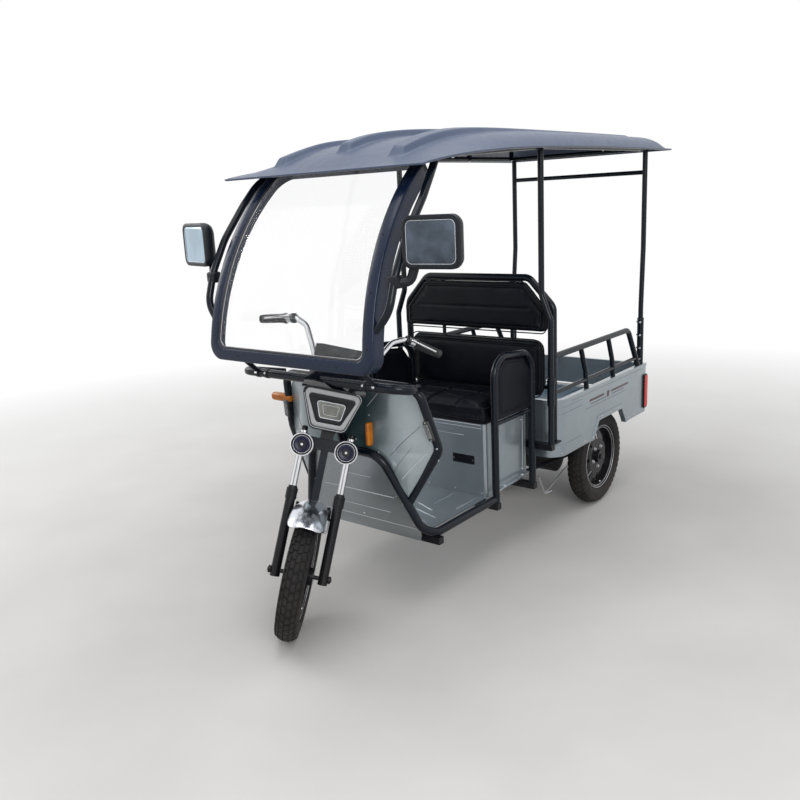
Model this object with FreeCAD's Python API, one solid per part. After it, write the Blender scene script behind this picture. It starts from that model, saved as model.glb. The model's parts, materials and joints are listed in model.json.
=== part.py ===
import FreeCAD, Part
import math
import os

from FreeCAD import Placement, Rotation, Vector

# Auto rickshaw on three wheels, in millimetres.
# +Z is up, the vehicle faces -Y and +X is its left side.
# The origin is on the ground under the middle of its bounding box.
# Lengths along the vehicle are given back from the front axle, as it stands parked.

# Overall layout
FRONT_AXLE_Y = -1089.0
WHEELBASE = 1862.0
TRACK = 636.0
ROOF_LENGTH = 2157.0
ROOF_WIDTH = 970.0
ROOF_FRONT = 231.0
ROOF_EDGE_FRONT_Z = 1703.0
RIB_X = 287.0
RIB_START = 362.0
RIB_MIDDLE_START = 424.0
RIB_WIDTH = 60.0
RIB_HEIGHT = 17.0
RIB_EDGE = 6.0
RIB_DRAFT = 9.0
RIB_NOSE = 12.0
RIB_BURY = 14.0
RIB_TAIL = 90.0

# Wheels
TYRE_RADIUS = 246.0
TYRE_WIDTH = 86.0
TREAD_HALF = 36.0
TREAD_DROP = 14.0
RIM_RADIUS = 166.0
RIM_WIDTH = 66.0
RIM_WELL = 16.0
DISC_THICKNESS = 5.0
HUB_RADIUS = 34.0
FRONT_HUB_LENGTH = 108.0
REAR_HUB_LENGTH = 70.0
DISC_SLOTS = 8
SLOT_WIDTH = 16.0
SLOT_LENGTH = 40.0
FRONT_AXLE_BORE = 8.1
REAR_AXLE_BORE = 14.1

# Steering geometry
RAKE = 22.5
PARKED_STEER = 38.0
HEAD_HEIGHT = 1050.0
FORK_OFFSET = 10.0

# Fork and bars, along the steering axis from the head point
STANCHION_X = 91.0
STANCHION_RADIUS = 13.5
STANCHION_TOP = -345.0
SLIDER_TOP = -566.0
SLIDER_RADIUS = 18.5
COLLAR_RADIUS = 21.5
COLLAR_HEIGHT = 42.0
CROWN_TOP = -362.0
CROWN_HEIGHT = 46.0
CROWN_DEPTH = 56.0
HANGER_HALF = 14.0
AXLE_RADIUS = 8.0
AXLE_HALF = 122.0
STEM_RADIUS = 14.0
HEAD_TUBE_TOP = -128.0
HEAD_TUBE_BOTTOM = -338.0
HEAD_TUBE_RADIUS = 26.0
HEAD_TUBE_BORE = 17.0
BAR_RADIUS = 11.0
BAR_BASE = -80.0
GRIP_RADIUS = 16.5
GRIP_START = 48.0
GRIP_CAP = 4.0
MUDGUARD_RADIUS = 282.0
MUDGUARD_HALF_WIDTH = 64.0
MUDGUARD_FRONT = 47.0
MUDGUARD_SWEEP = 107.0
MUDGUARD_THICKNESS = 2.5
LAMP_RADIUS = 41.0
LAMP_DEPTH = 46.0
LAMP_X = 84.0
LAMP_AXIS = -393.0
POD_TOP = -190.0
POD_BOTTOM = -322.0
POD_TOP_HALF = 108.0
POD_BOTTOM_HALF = 62.0
POD_FACE_TOP = 160.0
POD_FACE_BOTTOM = 108.0

# Tubes of the front guard
GUARD_RADIUS = 14.0
GUARD_BEND = 55.0
SHIELD_BULGE = 20.0
SCREEN_BAR_Y = 161.0
SCREEN_BAR_Z = 958.0
SCREEN_BAR_HALF = 452.0

# Pressed lines of the apron, as height and half length
APRON_BEADS = ((534.0, 110.0), (460.0, 158.0))

# Floor, seat and backrests
FOOTBOARD_HALF = 300.0
FOOTBOARD_FRONT = 402.5
FOOTBOARD_TOP = 334.0
SHEET = 4.0
FLOOR_RIDGES = ((480.0, 250.0), (540.0, 250.0), (600.0, 190.0))
SEAT_FRONT = 838.0
SEAT_BACK = 1186.0
SEAT_HALF = 304.0
SEAT_BOX_TOP = 658.0
LIP_PROUD = 5.0
GROOVE_Z = 604.0
CUSHION_HEIGHT = 66.0
LID_HEIGHT = 12.0
ARMREST_X = 334.0
ARMREST_FRONT = 868.0
ARMREST_BACK = 1180.0
ARMREST_TOP = 950.0
ARMREST_RAIL_Z = 655.0
ARMREST_RADIUS = 12.5
BACKREST_Y = 1216.0
BACKREST_THICKNESS = 38.0
FRAME_Y = 1263.0
FRAME_HALF = 402.0
FRAME_RADIUS = 12.5

# Cargo box
BOX_HALF = 412.0
BOX_FRONT = 1282.0
BOX_REAR = 2290.0
BOX_TOP = 672.0
BOX_BOTTOM = 400.0
BOX_FLOOR = 512.0
BOX_WALL = 22.0
BOX_CORNER = 80.0
ARCH_TOP = 486.0
ARCH_FRONT = 1642.0
ARCH_REAR = 2038.0
ARCH_SLANT = 64.0
ARCH_FLANGE = 26.0
ARCH_BEND = 14.0
TOP_ROLL = 16.0
BEAD_PROUD = 4.0
BEAD_HEIGHT = 9.0
BEAD_LEVELS = (624.0, 596.0, 448.0)
BEAD_END = 1520.0
GATE_THICKNESS = 20.0
GATE_GAP = 10.0
GATE_HINGE_X = 250.0
GATE_HINGE_Y = 2299.0
GATE_HINGE_Z = 520.0
GATE_KNUCKLE = 7.5
GATE_PIN = 4.0
SILL_BACK = 2286.0
PLATE_HOLE = 3.5
PLATE_SPACING = 150.0
PLATE_Z = 452.0
RAIL_TOP_Z = 884.0
RAIL_LOW_Z = 717.0
RAIL_RADIUS = 12.0

# Posts and windscreen
POST_RADIUS = 13.0
MID_POST_X = 378.0
MID_POST_Y = 1200.0
MID_POST_LOW_X = 412.0
POST_PLATE_Z = 495.0
REAR_POST_X = 373.0
REAR_POST_Y = 2250.0
CROSS_RAIL_Z = 1674.0
CLAMP_Z = 770.0
REAR_SLEEVE_TOP = 917.0
SCREEN_BOTTOM_Z = 1066.0
SCREEN_BOTTOM_Y = 34.0
SCREEN_TOP_Z = 1706.0
SCREEN_TOP_Y = 384.0
SCREEN_BOTTOM_HALF = 388.0
SCREEN_TOP_HALF = 356.0
SCREEN_MEMBER = 46.0
SCREEN_DEPTH = 26.0
SCREEN_EDGE = 9.0
GLASS_THICKNESS = 5.0

# Mirrors and small lamps
MIRROR_X = 580.0
MIRROR_Y = 128.0
MIRROR_Z = 1462.0
MIRROR_WIDTH = 214.0
MIRROR_TALL = 164.0
MIRROR_DEPTH = 56.0
MIRROR_TAPER = 0.72
MIRROR_RIM = 14.0
MIRROR_GLASS = 4.0
SUPPORT_RADIUS = 13.0

# Running gear
REAR_AXLE_RADIUS = 26.0
REAR_AXLE_HALF = 262.0
STUB_RADIUS = 14.0
SPRING_X = 200.0
SPRING_WIDTH = 44.0
SPRING_LEAF = 8.0
SPRING_HALF = 300.0
RAIL_X = 200.0
RAIL_WIDTH = 34.0
RAIL_HEIGHT = 46.0
LOW_RAIL_Z = 307.0
HIGH_RAIL_Z = 485.0
CROSS_TOP = 308.0
PEDAL_X = -130.0
PEDAL_Z = 408.0
ROD_RADIUS = 10.0

rake = math.radians(RAKE)
turn = math.radians(PARKED_STEER)
crown_radius = (TREAD_HALF ** 2 + TREAD_DROP ** 2) / (2 * TREAD_DROP)
lean = math.asin(math.sin(turn) * math.sin(rake))
wheel_height = (TYRE_RADIUS - crown_radius) * math.cos(lean) + crown_radius
FORK_LENGTH = (HEAD_HEIGHT + FORK_OFFSET * math.cos(turn) * math.sin(rake) - wheel_height) / math.cos(rake)
HEAD_Y = FORK_LENGTH * math.sin(rake) + FORK_OFFSET * math.cos(turn) * math.cos(rake)

X_AXIS = Vector(1, 0, 0)
Y_AXIS = Vector(0, 1, 0)
Z_AXIS = Vector(0, 0, 1)
SIDES = (-1, 1)


def at(x, y, z):
    """A point of the vehicle, y counted back from the front axle."""
    return Vector(x, y + FRONT_AXLE_Y, z)


def fork(x, ahead, up):
    """A point of the steered assembly: across, ahead of its axis, and up along it from the head point."""
    return Vector(x, -ahead, up)


LEAN_BACK = Rotation(X_AXIS, -RAKE)
STEERED = Placement(at(0, HEAD_Y, HEAD_HEIGHT), LEAN_BACK.multiply(Rotation(Z_AXIS, PARKED_STEER)))
HEAD_FIXED = Placement(at(0, HEAD_Y, HEAD_HEIGHT), LEAN_BACK)
FRONT_WHEEL_CENTRE = fork(0, FORK_OFFSET, -FORK_LENGTH)


def steered(shape):
    moved = shape.copy()
    moved.Placement = STEERED.multiply(shape.Placement)
    return moved


def solid_volume(solid):
    return solid.Volume


def mirrored(shape):
    return shape.mirror(Vector(0, 0, 0), X_AXIS)


def join(shapes):
    return shapes[0].fuse(shapes[1:]).removeSplitter() if len(shapes) > 1 else shapes[0]


def save(node, shapes):
    os.makedirs("parts", exist_ok=True)
    solids = [solid for shape in shapes for solid in shape.Solids]
    Part.makeCompound(solids).exportStep("parts/" + node + ".step")


def rounded_path(points, bend):
    """A wire through the points with its corners turned as arcs of the bend radius."""
    edges = []
    start = points[0]
    for before, corner, after in zip(points, points[1:], points[2:]):
        toward = (corner - before).normalize()
        away = (after - corner).normalize()
        angle = toward.getAngle(away)
        reach = min((corner - before).Length, (after - corner).Length) * 0.48
        cut = min(bend * math.tan(angle / 2), reach)
        radius = cut / math.tan(angle / 2)
        enter = corner - toward * cut
        leave = corner + away * cut
        inward = (away - toward).normalize()
        middle = corner + inward * (math.hypot(cut, radius) - radius)
        edges.append(Part.makeLine(start, enter))
        edges.append(Part.Arc(enter, middle, leave).toShape())
        start = leave
    edges.append(Part.makeLine(start, points[-1]))
    return Part.Wire(edges)


def tube(points, radius, bend=GUARD_BEND):
    """A round bar through the points, its corners turned as arcs of the bend radius."""
    start = points[0]
    heading = (points[1] - start).normalize()
    ring = Part.makeCircle(radius, start, heading)
    faces = [Part.Face(Part.Wire([ring]))]
    for before, corner, after in zip(points, points[1:], points[2:]):
        toward = (corner - before).normalize()
        away = (after - corner).normalize()
        angle = toward.getAngle(away)
        reach = min((corner - before).Length, (after - corner).Length) * 0.48
        cut = min(bend * math.tan(angle / 2), reach)
        run = corner - toward * cut - start
        faces.append(ring.extrude(run))
        ring = ring.translated(run)
        axis = toward.cross(away).normalize()
        pivot = corner - toward * cut + axis.cross(toward) * (cut / math.tan(angle / 2))
        faces.append(ring.revolve(pivot, axis, math.degrees(angle)))
        ring = ring.rotated(pivot, axis, math.degrees(angle))
        start = corner + away * cut
    run = points[-1] - start
    faces.append(ring.extrude(run))
    faces.append(Part.Face(Part.Wire([ring.translated(run)])))
    skin = Part.makeShell(faces)
    skin.sewShape()
    solid = Part.makeSolid(skin)
    return solid if solid.Volume > 0 else solid.reversed()


def box(low, high):
    """A box between any two opposite corners."""
    corner = Vector(min(low.x, high.x), min(low.y, high.y), min(low.z, high.z))
    size = Vector(abs(high.x - low.x), abs(high.y - low.y), abs(high.z - low.z))
    return Part.makeBox(size.x, size.y, size.z, corner)


def prism(points, along):
    """A flat outline pushed along a vector."""
    return Part.Face(Part.makePolygon(points + points[:1])).extrude(along)


def rounded_outline(points, radius):
    """A closed flat wire whose corners are all turned with one radius."""
    middle = (points[0] + points[-1]) * 0.5
    return Part.Wire(rounded_path([middle] + points + [middle], radius).Edges)


def rounded_prism(points, radius, along):
    return Part.Face(rounded_outline(points, radius)).extrude(along)


def revolve_x(profile, centre=Vector(0, 0, 0)):
    """Turn an outline of (across, radius) points about the X axis."""
    points = [Vector(x, 0, r) for x, r in profile]
    face = Part.Face(Part.makePolygon(points + points[:1]))
    solid = face.revolve(Vector(0, 0, 0), X_AXIS, 360)
    solid.translate(centre)
    return solid


def tyre_shape():
    """A tyre on its own centre, its axle along X, with a rounded tread and bulging walls."""
    half = TYRE_WIDTH / 2
    bead = RIM_WIDTH / 2 - 3
    inner = RIM_RADIUS + 0.3
    shoulder = TYRE_RADIUS - TREAD_DROP
    widest = (inner + shoulder) / 2
    tread = Part.Arc(Vector(-TREAD_HALF, 0, shoulder), Vector(0, 0, TYRE_RADIUS),
                     Vector(TREAD_HALF, 0, shoulder)).toShape()
    right_wall = Part.Arc(Vector(TREAD_HALF, 0, shoulder), Vector(half, 0, widest), Vector(bead, 0, inner)).toShape()
    seat = Part.makeLine(Vector(bead, 0, inner), Vector(-bead, 0, inner))
    left_wall = Part.Arc(Vector(-bead, 0, inner), Vector(-half, 0, widest), Vector(-TREAD_HALF, 0, shoulder)).toShape()
    face = Part.Face(Part.Wire([tread, right_wall, seat, left_wall]))
    return face.revolve(Vector(0, 0, 0), X_AXIS, 360)


def rim_shape(hub_half, bore, outward):
    """A pressed steel disc wheel with slots, its disc dished to one side."""
    half = RIM_WIDTH / 2
    well = RIM_RADIUS - RIM_WELL
    lip = 5.0
    sheet = 4.0
    shoulder = half - 2 * lip
    barrel = [
        (-half, RIM_RADIUS), (-half + lip, RIM_RADIUS), (-shoulder, well + sheet),
        (shoulder, well + sheet), (half - lip, RIM_RADIUS), (half, RIM_RADIUS),
        (half, RIM_RADIUS - sheet), (shoulder + 2, well), (-shoulder - 2, well), (-half, RIM_RADIUS - sheet),
    ]
    edge = 2.0 * outward
    crest = 16.0 * outward
    face = DISC_THICKNESS * outward
    disc = [
        (edge, well + 1), (crest, well * 0.62), (crest, HUB_RADIUS - 4),
        (crest - face, HUB_RADIUS - 4), (crest - face, well * 0.62), (edge - face, well + 1),
    ]
    wheel = join([revolve_x(barrel), revolve_x(disc), Part.makeCylinder(
        HUB_RADIUS, 2 * hub_half, Vector(-hub_half, 0, 0), X_AXIS)])
    slot_radius = well * 0.74
    for index in range(DISC_SLOTS):
        slot = box(Vector(-half, -SLOT_WIDTH / 2, slot_radius - SLOT_LENGTH / 2),
                   Vector(half, SLOT_WIDTH / 2, slot_radius + SLOT_LENGTH / 2))
        slot.rotate(Vector(0, 0, 0), X_AXIS, 360 * index / DISC_SLOTS)
        wheel = wheel.cut(slot)
    return wheel.cut(Part.makeCylinder(bore, 4 * hub_half, Vector(-2 * hub_half, 0, 0), X_AXIS))


def front_wheel():
    tyre = tyre_shape()
    rim = rim_shape(FRONT_HUB_LENGTH / 2, FRONT_AXLE_BORE, 1)
    for shape in (tyre, rim):
        shape.translate(FRONT_WHEEL_CENTRE)
    save("front_tyre", [steered(tyre)])
    save("front_rim", [steered(rim)])


def rear_wheels():
    for side, name in ((1, "left"), (-1, "right")):
        centre = at(side * TRACK / 2, WHEELBASE, TYRE_RADIUS)
        tyre = tyre_shape()
        rim = rim_shape(REAR_HUB_LENGTH / 2, REAR_AXLE_BORE, side)
        for shape in (tyre, rim):
            shape.translate(centre)
        save("rear_tyre_" + name, [tyre])
        save("rear_rim_" + name, [rim])


def fork_yoke():
    """Crown, steering stem and bar clamp in one piece."""
    half = STANCHION_X + 27
    low = CROWN_TOP - CROWN_HEIGHT
    depth = CROWN_DEPTH / 2
    outline = [fork(-half, -depth * 0.6, low), fork(-half, depth, low), fork(half, depth, low),
               fork(half, -depth * 0.6, low), fork(half * 0.4, -depth, low), fork(-half * 0.4, -depth, low)]
    crown = rounded_prism(outline, 12, Vector(0, 0, CROWN_HEIGHT))
    for side in SIDES:
        hole = Part.makeCylinder(STANCHION_RADIUS + 0.1, 2 * CROWN_HEIGHT,
                                 fork(side * STANCHION_X, FORK_OFFSET, low - 10), Z_AXIS)
        crown = crown.cut(hole)
    stem = Part.makeCylinder(STEM_RADIUS, BAR_BASE - low, fork(0, 0, low), Z_AXIS)
    clamp = box(fork(-38, 20, BAR_BASE - 20), fork(38, -20, BAR_BASE + 20))
    hole = Part.makeCylinder(BAR_RADIUS + 0.1, 100, Vector(-50, 0, BAR_BASE), X_AXIS)
    hanger = box(fork(-HANGER_HALF, FORK_OFFSET + 4, low + 1),
                 fork(HANGER_HALF, FORK_OFFSET - 8, -FORK_LENGTH + MUDGUARD_RADIUS + 0.3))
    save("fork_yoke", [steered(join([crown, stem, clamp, hanger]).cut(hole))])


def fork_legs():
    """Bright stanchions, and the dark sliders with the axle between them."""
    bore_depth = 70
    overlap = 55
    stanchions = []
    sliders = []
    for side in SIDES:
        foot = fork(side * STANCHION_X, FORK_OFFSET, SLIDER_TOP - overlap)
        stanchions.append(Part.makeCylinder(STANCHION_RADIUS, STANCHION_TOP - SLIDER_TOP + overlap, foot, Z_AXIS))
        bottom = fork(side * STANCHION_X, FORK_OFFSET, -FORK_LENGTH - 22)
        leg = Part.makeCylinder(SLIDER_RADIUS, SLIDER_TOP + FORK_LENGTH + 22, bottom, Z_AXIS)
        collar = Part.makeCylinder(COLLAR_RADIUS, COLLAR_HEIGHT,
                                   fork(side * STANCHION_X, FORK_OFFSET, SLIDER_TOP - COLLAR_HEIGHT), Z_AXIS)
        bore = Part.makeCylinder(STANCHION_RADIUS + 0.1, bore_depth,
                                 fork(side * STANCHION_X, FORK_OFFSET, SLIDER_TOP - bore_depth + 5), Z_AXIS)
        sliders.append(join([leg, collar]).cut(bore))
    axle = Part.makeCylinder(AXLE_RADIUS, 2 * AXLE_HALF, FRONT_WHEEL_CENTRE - X_AXIS * AXLE_HALF, X_AXIS)
    nuts = [Part.makeCylinder(AXLE_RADIUS + 6, 9, FRONT_WHEEL_CENTRE + X_AXIS * side * (AXLE_HALF - 12),
                              X_AXIS * side) for side in SIDES]
    save("fork_stanchions", [steered(shape) for shape in stanchions])
    lower = join(sliders + [axle] + nuts)
    save("fork_sliders", [steered(lower)])
    return lower


def handlebar():
    """A bar that rises on both sides of its clamp and sweeps back to the grips."""
    elbow = (217, -60, 82)
    tip = (362, -140, 63)
    corners = [(98, 0, BAR_BASE), (170, -46, 58), elbow, tip]
    right = [fork(-x, n, s) for x, n, s in reversed(corners)]
    left = [fork(x, n, s) for x, n, s in corners]
    bar = tube(right + left, BAR_RADIUS, 42)
    save("handlebar", [steered(bar)])
    levers = []
    grips = []
    for side in SIDES:
        start = fork(side * elbow[0], elbow[1], elbow[2])
        end = fork(side * tip[0], tip[1], tip[2])
        along = (end - start).normalize()
        length = end.distanceToPoint(start)
        grip = Part.makeCylinder(GRIP_RADIUS, length - GRIP_START + GRIP_CAP, start + along * GRIP_START, along)
        hollow = Part.makeCylinder(BAR_RADIUS + 0.2, length, start, along)
        grips.append(grip.cut(hollow))
        perch = Part.makeCylinder(GRIP_RADIUS + 1, 26, start + along * 17, along)
        pivot = start + along * 30 + fork(0, 30, 4)
        arm = tube([start + along * 30, pivot], 7.0)
        lever = tube([pivot, pivot + along * 40 + fork(0, 12, -4), pivot + along * 118 + fork(0, 2, -6)], 4.5, 30)
        levers.append(join([perch, arm, lever]).cut(hollow))
    save("handlebar_grips", [steered(grip) for grip in grips])
    save("brake_levers", [steered(lever) for lever in levers])


def instrument_housing():
    low = [fork(-108, 20, -100), fork(108, 20, -100), fork(108, 78, -100), fork(-108, 78, -100)]
    body = rounded_prism(low, 16, Vector(0, 0, 84))
    save("instrument_housing", [steered(body)])


def pod_outline(inset, ahead_shift):
    """The headlamp's front outline, wide above and narrow below, on its sloping face."""
    top = POD_TOP - inset
    bottom = POD_BOTTOM + inset
    slope = (POD_FACE_TOP - POD_FACE_BOTTOM) / (POD_TOP - POD_BOTTOM)
    ahead_top = POD_FACE_BOTTOM + slope * (top - POD_BOTTOM) + ahead_shift
    ahead_bottom = POD_FACE_BOTTOM + slope * (bottom - POD_BOTTOM) + ahead_shift
    wide = POD_TOP_HALF - inset
    narrow = POD_BOTTOM_HALF - inset * 0.8
    return [fork(-wide, ahead_top, top), fork(wide, ahead_top, top),
            fork(narrow, ahead_bottom, bottom), fork(-narrow, ahead_bottom, bottom)]


def headlamp():
    """Housing, light ring and lens of the steered headlamp."""
    back = 34.0
    front = rounded_outline(pod_outline(0, 0), 26)
    rear_points = [fork(point.x * 0.72, back, point.z * 0.94 - 14) for point in pod_outline(0, 0)]
    housing = Part.makeLoft([rounded_outline(rear_points, 18), front], True, True)
    recess = rounded_prism(pod_outline(9, 4), 20, fork(0, -16, 0) - fork(0, 0, 0))
    housing = housing.cut(recess)
    foot = box(fork(-24, 20, CROWN_TOP), fork(24, back + 10, CROWN_TOP + 12))
    upright = box(fork(-24, back, CROWN_TOP), fork(24, back + 10, CROWN_TOP + 50))
    save("headlamp_housing", [steered(join([housing, foot, upright]))])
    ring = rounded_prism(pod_outline(9.3, -11.5), 20, Vector(0, -8, 0))
    ring = ring.cut(rounded_prism(pod_outline(24, 4), 14, Vector(0, 40, 0)))
    lens = rounded_prism(pod_outline(44, -11.5), 12, Vector(0, -7, 0))
    save("headlamp_ring", [steered(ring)])
    save("headlamp_lens", [steered(lens)])


def fork_lamps():
    """Two round lamps on the crown's front."""
    lamps = []
    for side in SIDES:
        centre = fork(side * LAMP_X, CROWN_DEPTH / 2, LAMP_AXIS)
        body = Part.makeCylinder(LAMP_RADIUS, LAMP_DEPTH - 16, centre + fork(0, 16, 0), fork(0, 1, 0))
        mount = Part.makeCylinder(14, 20, centre, fork(0, 1, 0))
        dish = Part.makeCylinder(LAMP_RADIUS - 6, 8, centre + fork(0, LAMP_DEPTH - 6, 0), fork(0, 1, 0))
        lamps.append(join([body, mount]).cut(dish))
    save("fork_lamps", [steered(lamp) for lamp in lamps])


def front_mudguard(sliders):
    """A narrow guard bent around the tyre, held by stays to the sliders."""
    half = MUDGUARD_HALF_WIDTH
    edge = MUDGUARD_RADIUS - 26
    outer = Part.Arc(Vector(-half, 0, edge), Vector(0, 0, MUDGUARD_RADIUS), Vector(half, 0, edge)).toShape()
    inner_half = half - MUDGUARD_THICKNESS
    inner = Part.Arc(Vector(inner_half, 0, edge), Vector(0, 0, MUDGUARD_RADIUS - MUDGUARD_THICKNESS),
                     Vector(-inner_half, 0, edge)).toShape()
    right = Part.makeLine(Vector(half, 0, edge), Vector(inner_half, 0, edge))
    left = Part.makeLine(Vector(-inner_half, 0, edge), Vector(-half, 0, edge))
    face = Part.Face(Part.Wire([outer, right, inner, left]))
    face.rotate(Vector(0, 0, 0), X_AXIS, MUDGUARD_FRONT)
    guard = face.revolve(Vector(0, 0, 0), X_AXIS, -MUDGUARD_SWEEP)
    guard.translate(FRONT_WHEEL_CENTRE)
    stays = []
    for side in SIDES:
        low = fork(side * (half - 1), FORK_OFFSET + 6, -FORK_LENGTH + edge - 40)
        stays.append(box(low + Vector(side * -3, -11, 0), low + Vector(side * 1, 11, 48)))
        stays.append(box(low + Vector(side * -3, -11, 0), low + Vector(side * 12, 11, 12)))
    mudguard = join([guard] + stays).cut(sliders)
    save("front_mudguard", [steered(max(mudguard.Solids, key=solid_volume))])


def head_frame():
    """Head tube, the down tube behind it and its gussets."""
    length = HEAD_TUBE_TOP - HEAD_TUBE_BOTTOM
    outer = Part.makeCylinder(HEAD_TUBE_RADIUS, length, Vector(0, 0, HEAD_TUBE_BOTTOM), Z_AXIS)
    bore = Part.makeCylinder(HEAD_TUBE_BORE, length, Vector(0, 0, HEAD_TUBE_BOTTOM), Z_AXIS)
    cups = []
    for low in (HEAD_TUBE_BOTTOM, HEAD_TUBE_TOP - 12):
        ring = Part.makeCylinder(HEAD_TUBE_BORE + 1, 12, Vector(0, 0, low), Z_AXIS)
        cups.append(ring.cut(Part.makeCylinder(STEM_RADIUS + 0.2, 12, Vector(0, 0, low), Z_AXIS)))
    head = join([outer.cut(bore)] + cups)
    head.Placement = HEAD_FIXED
    return head


def hoop_point(x, z, ahead=0.0):
    """A point on the sloping plane of the front hoop."""
    return at(x, 386.0 - (z - 356.0) * 0.2877 - ahead, z)


def guard_tubes(screen_frame):
    """Front hoop, the two leg loops joined across the top, and the bar under the windscreen."""
    hoop_right = [at(-318, SEAT_FRONT + 14, 322), at(-318, 430, 322), hoop_point(-292, 350), hoop_point(-176, 664)]
    hoop_left = [Vector(-point.x, point.y, point.z) for point in reversed(hoop_right)]
    hoop = tube(hoop_right + hoop_left, GUARD_RADIUS, 46)
    loop_left = [at(0, 330, 922), at(292, 336, 922), at(382, 397, 694), at(262, 368, 452)]
    loop_right = [Vector(-point.x, point.y, point.z) for point in reversed(loop_left)]
    loop = tube(loop_right[:-1] + loop_left[1:], GUARD_RADIUS, 50)
    bar = tube([at(-SCREEN_BAR_HALF, SCREEN_BAR_Y, SCREEN_BAR_Z), at(SCREEN_BAR_HALF, SCREEN_BAR_Y, SCREEN_BAR_Z)],
               GUARD_RADIUS)
    links = []
    for side in SIDES:
        links.append(tube([at(side * 250, SCREEN_BAR_Y, SCREEN_BAR_Z), at(side * 250, 334, 922)], 9.0))
        links.append(tube([at(side * 300, SCREEN_BAR_Y, SCREEN_BAR_Z), at(side * 300, 40, 1064)], 9.0))
    down = tube([at(0, 258, 806), at(0, 300, 664)], GUARD_RADIUS)
    upper = tube([at(0, 262, 812), at(0, 330, 922)], 11.0)
    stem_room = Part.makeCylinder(STEM_RADIUS + 0.2, HEAD_HEIGHT / 2, Vector(0, 0, -HEAD_HEIGHT / 2), Z_AXIS)
    stem_room.Placement = HEAD_FIXED.multiply(stem_room.Placement)
    guard = join([hoop, loop, bar, down, upper] + links + [head_frame()]).cut(screen_frame).cut(stem_room)
    save("guard_tubes", [max(guard.Solids, key=solid_volume)])
    return guard


def patch(rows):
    """A smooth surface through rows of points."""
    surface = Part.BSplineSurface()
    surface.interpolate(rows)
    return surface.toShape()


def leg_shields(guard):
    """Swept sheets between the front hoop and the leg loops, one on each side."""
    outer = [(285, 338, 905), (318, 350, 868), (348, 376, 790), (366, 388, 740), (372, 392, 700)]
    inner_y = [332, 322, 310, 304, 300]
    columns = [index / 12.0 for index in range(13)]
    inner_x = 4.0

    def row(x0, y0, x1, y1, z, bulge=SHIELD_BULGE):
        swell = [bulge * math.exp(-((t - 0.72) / 0.17) ** 2) * (1 - t ** 8) for t in columns]
        return [at(x0 + (x1 - x0) * t, y0 + (y1 - y0) * t * t - out, z) for t, out in zip(columns, swell)]

    swells = [SHIELD_BULGE * share for share in (0.3, 0.8, 1.0, 1.0, 0.9)]
    upper_rows = [row(inner_x, y0, x, y, z, out) for (x, y, z), y0, out in zip(outer, inner_y, swells)]
    upper_rows.append(row(inner_x, 298, 371, 391, 664, SHIELD_BULGE / 2))
    lower_outer = [(371, 391, 668), (362, 384, 636), (330, 377, 575), (296, 371, 510), (262, 366, 462)]
    lower_inner = [(160, 314), (178, 318), (208, 332), (236, 345), (250, 360)]
    lower_rows = [row(x0, y0, x, y, z, 0) for (x, y, z), (x0, y0) in zip(lower_outer, lower_inner)]
    shield = join([patch(rows).extrude(Vector(0, SHEET, 0)) for rows in (upper_rows, lower_rows)]).cut(guard)
    shield = max(shield.Solids, key=solid_volume)
    save("leg_shields", [shield, mirrored(shield)])
    return shield


def front_apron(guard):
    """The plate below the hoop with its folded lower lip."""
    normal = Vector(0, 1, 0.2877).normalize() * SHEET
    outline = [(-160, 652), (160, 652), (181, 612), (234, 470), (274, 362), (284, 336), (-284, 336), (-274, 362),
               (-234, 470), (-181, 612)]
    plate = prism([hoop_point(x, z, -4) for x, z in outline], normal)
    lip = prism([at(-284, 396, 338), at(284, 396, 338), at(270, 410, 286), at(-270, 410, 286)], Vector(0, SHEET, 0))
    beads = []
    for low, reach in APRON_BEADS:
        bead = prism([hoop_point(-reach, low, -1), hoop_point(-reach, low + 9, -1), hoop_point(-reach, low + 7, -8),
                      hoop_point(-reach, low + 2, -8)], Vector(2 * reach, 0, 0))
        beads.append(bead)
    apron = join([plate, lip] + beads).cut(guard)
    save("front_apron", [max(apron.Solids, key=solid_volume)])


def footboard(guard, chassis):
    floor = box(at(-FOOTBOARD_HALF, FOOTBOARD_FRONT, FOOTBOARD_TOP - SHEET),
                at(FOOTBOARD_HALF, SEAT_BACK, FOOTBOARD_TOP))
    ridges = []
    for start, reach in FLOOR_RIDGES:
        path = [at(-reach, start, FOOTBOARD_TOP), at(-reach / 2, start + 40, FOOTBOARD_TOP),
                at(reach / 2, start + 40, FOOTBOARD_TOP), at(reach, start, FOOTBOARD_TOP)]
        ridges.append(tube(path, 4.0, 30))
    for side in SIDES:
        for x in (150.0, 265.0):
            ridges.append(tube([at(side * x, 660, FOOTBOARD_TOP), at(side * x, 815, FOOTBOARD_TOP)], 4.0))
    save("footboard", [join([floor] + ridges).cut(guard).cut(chassis)])


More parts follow.
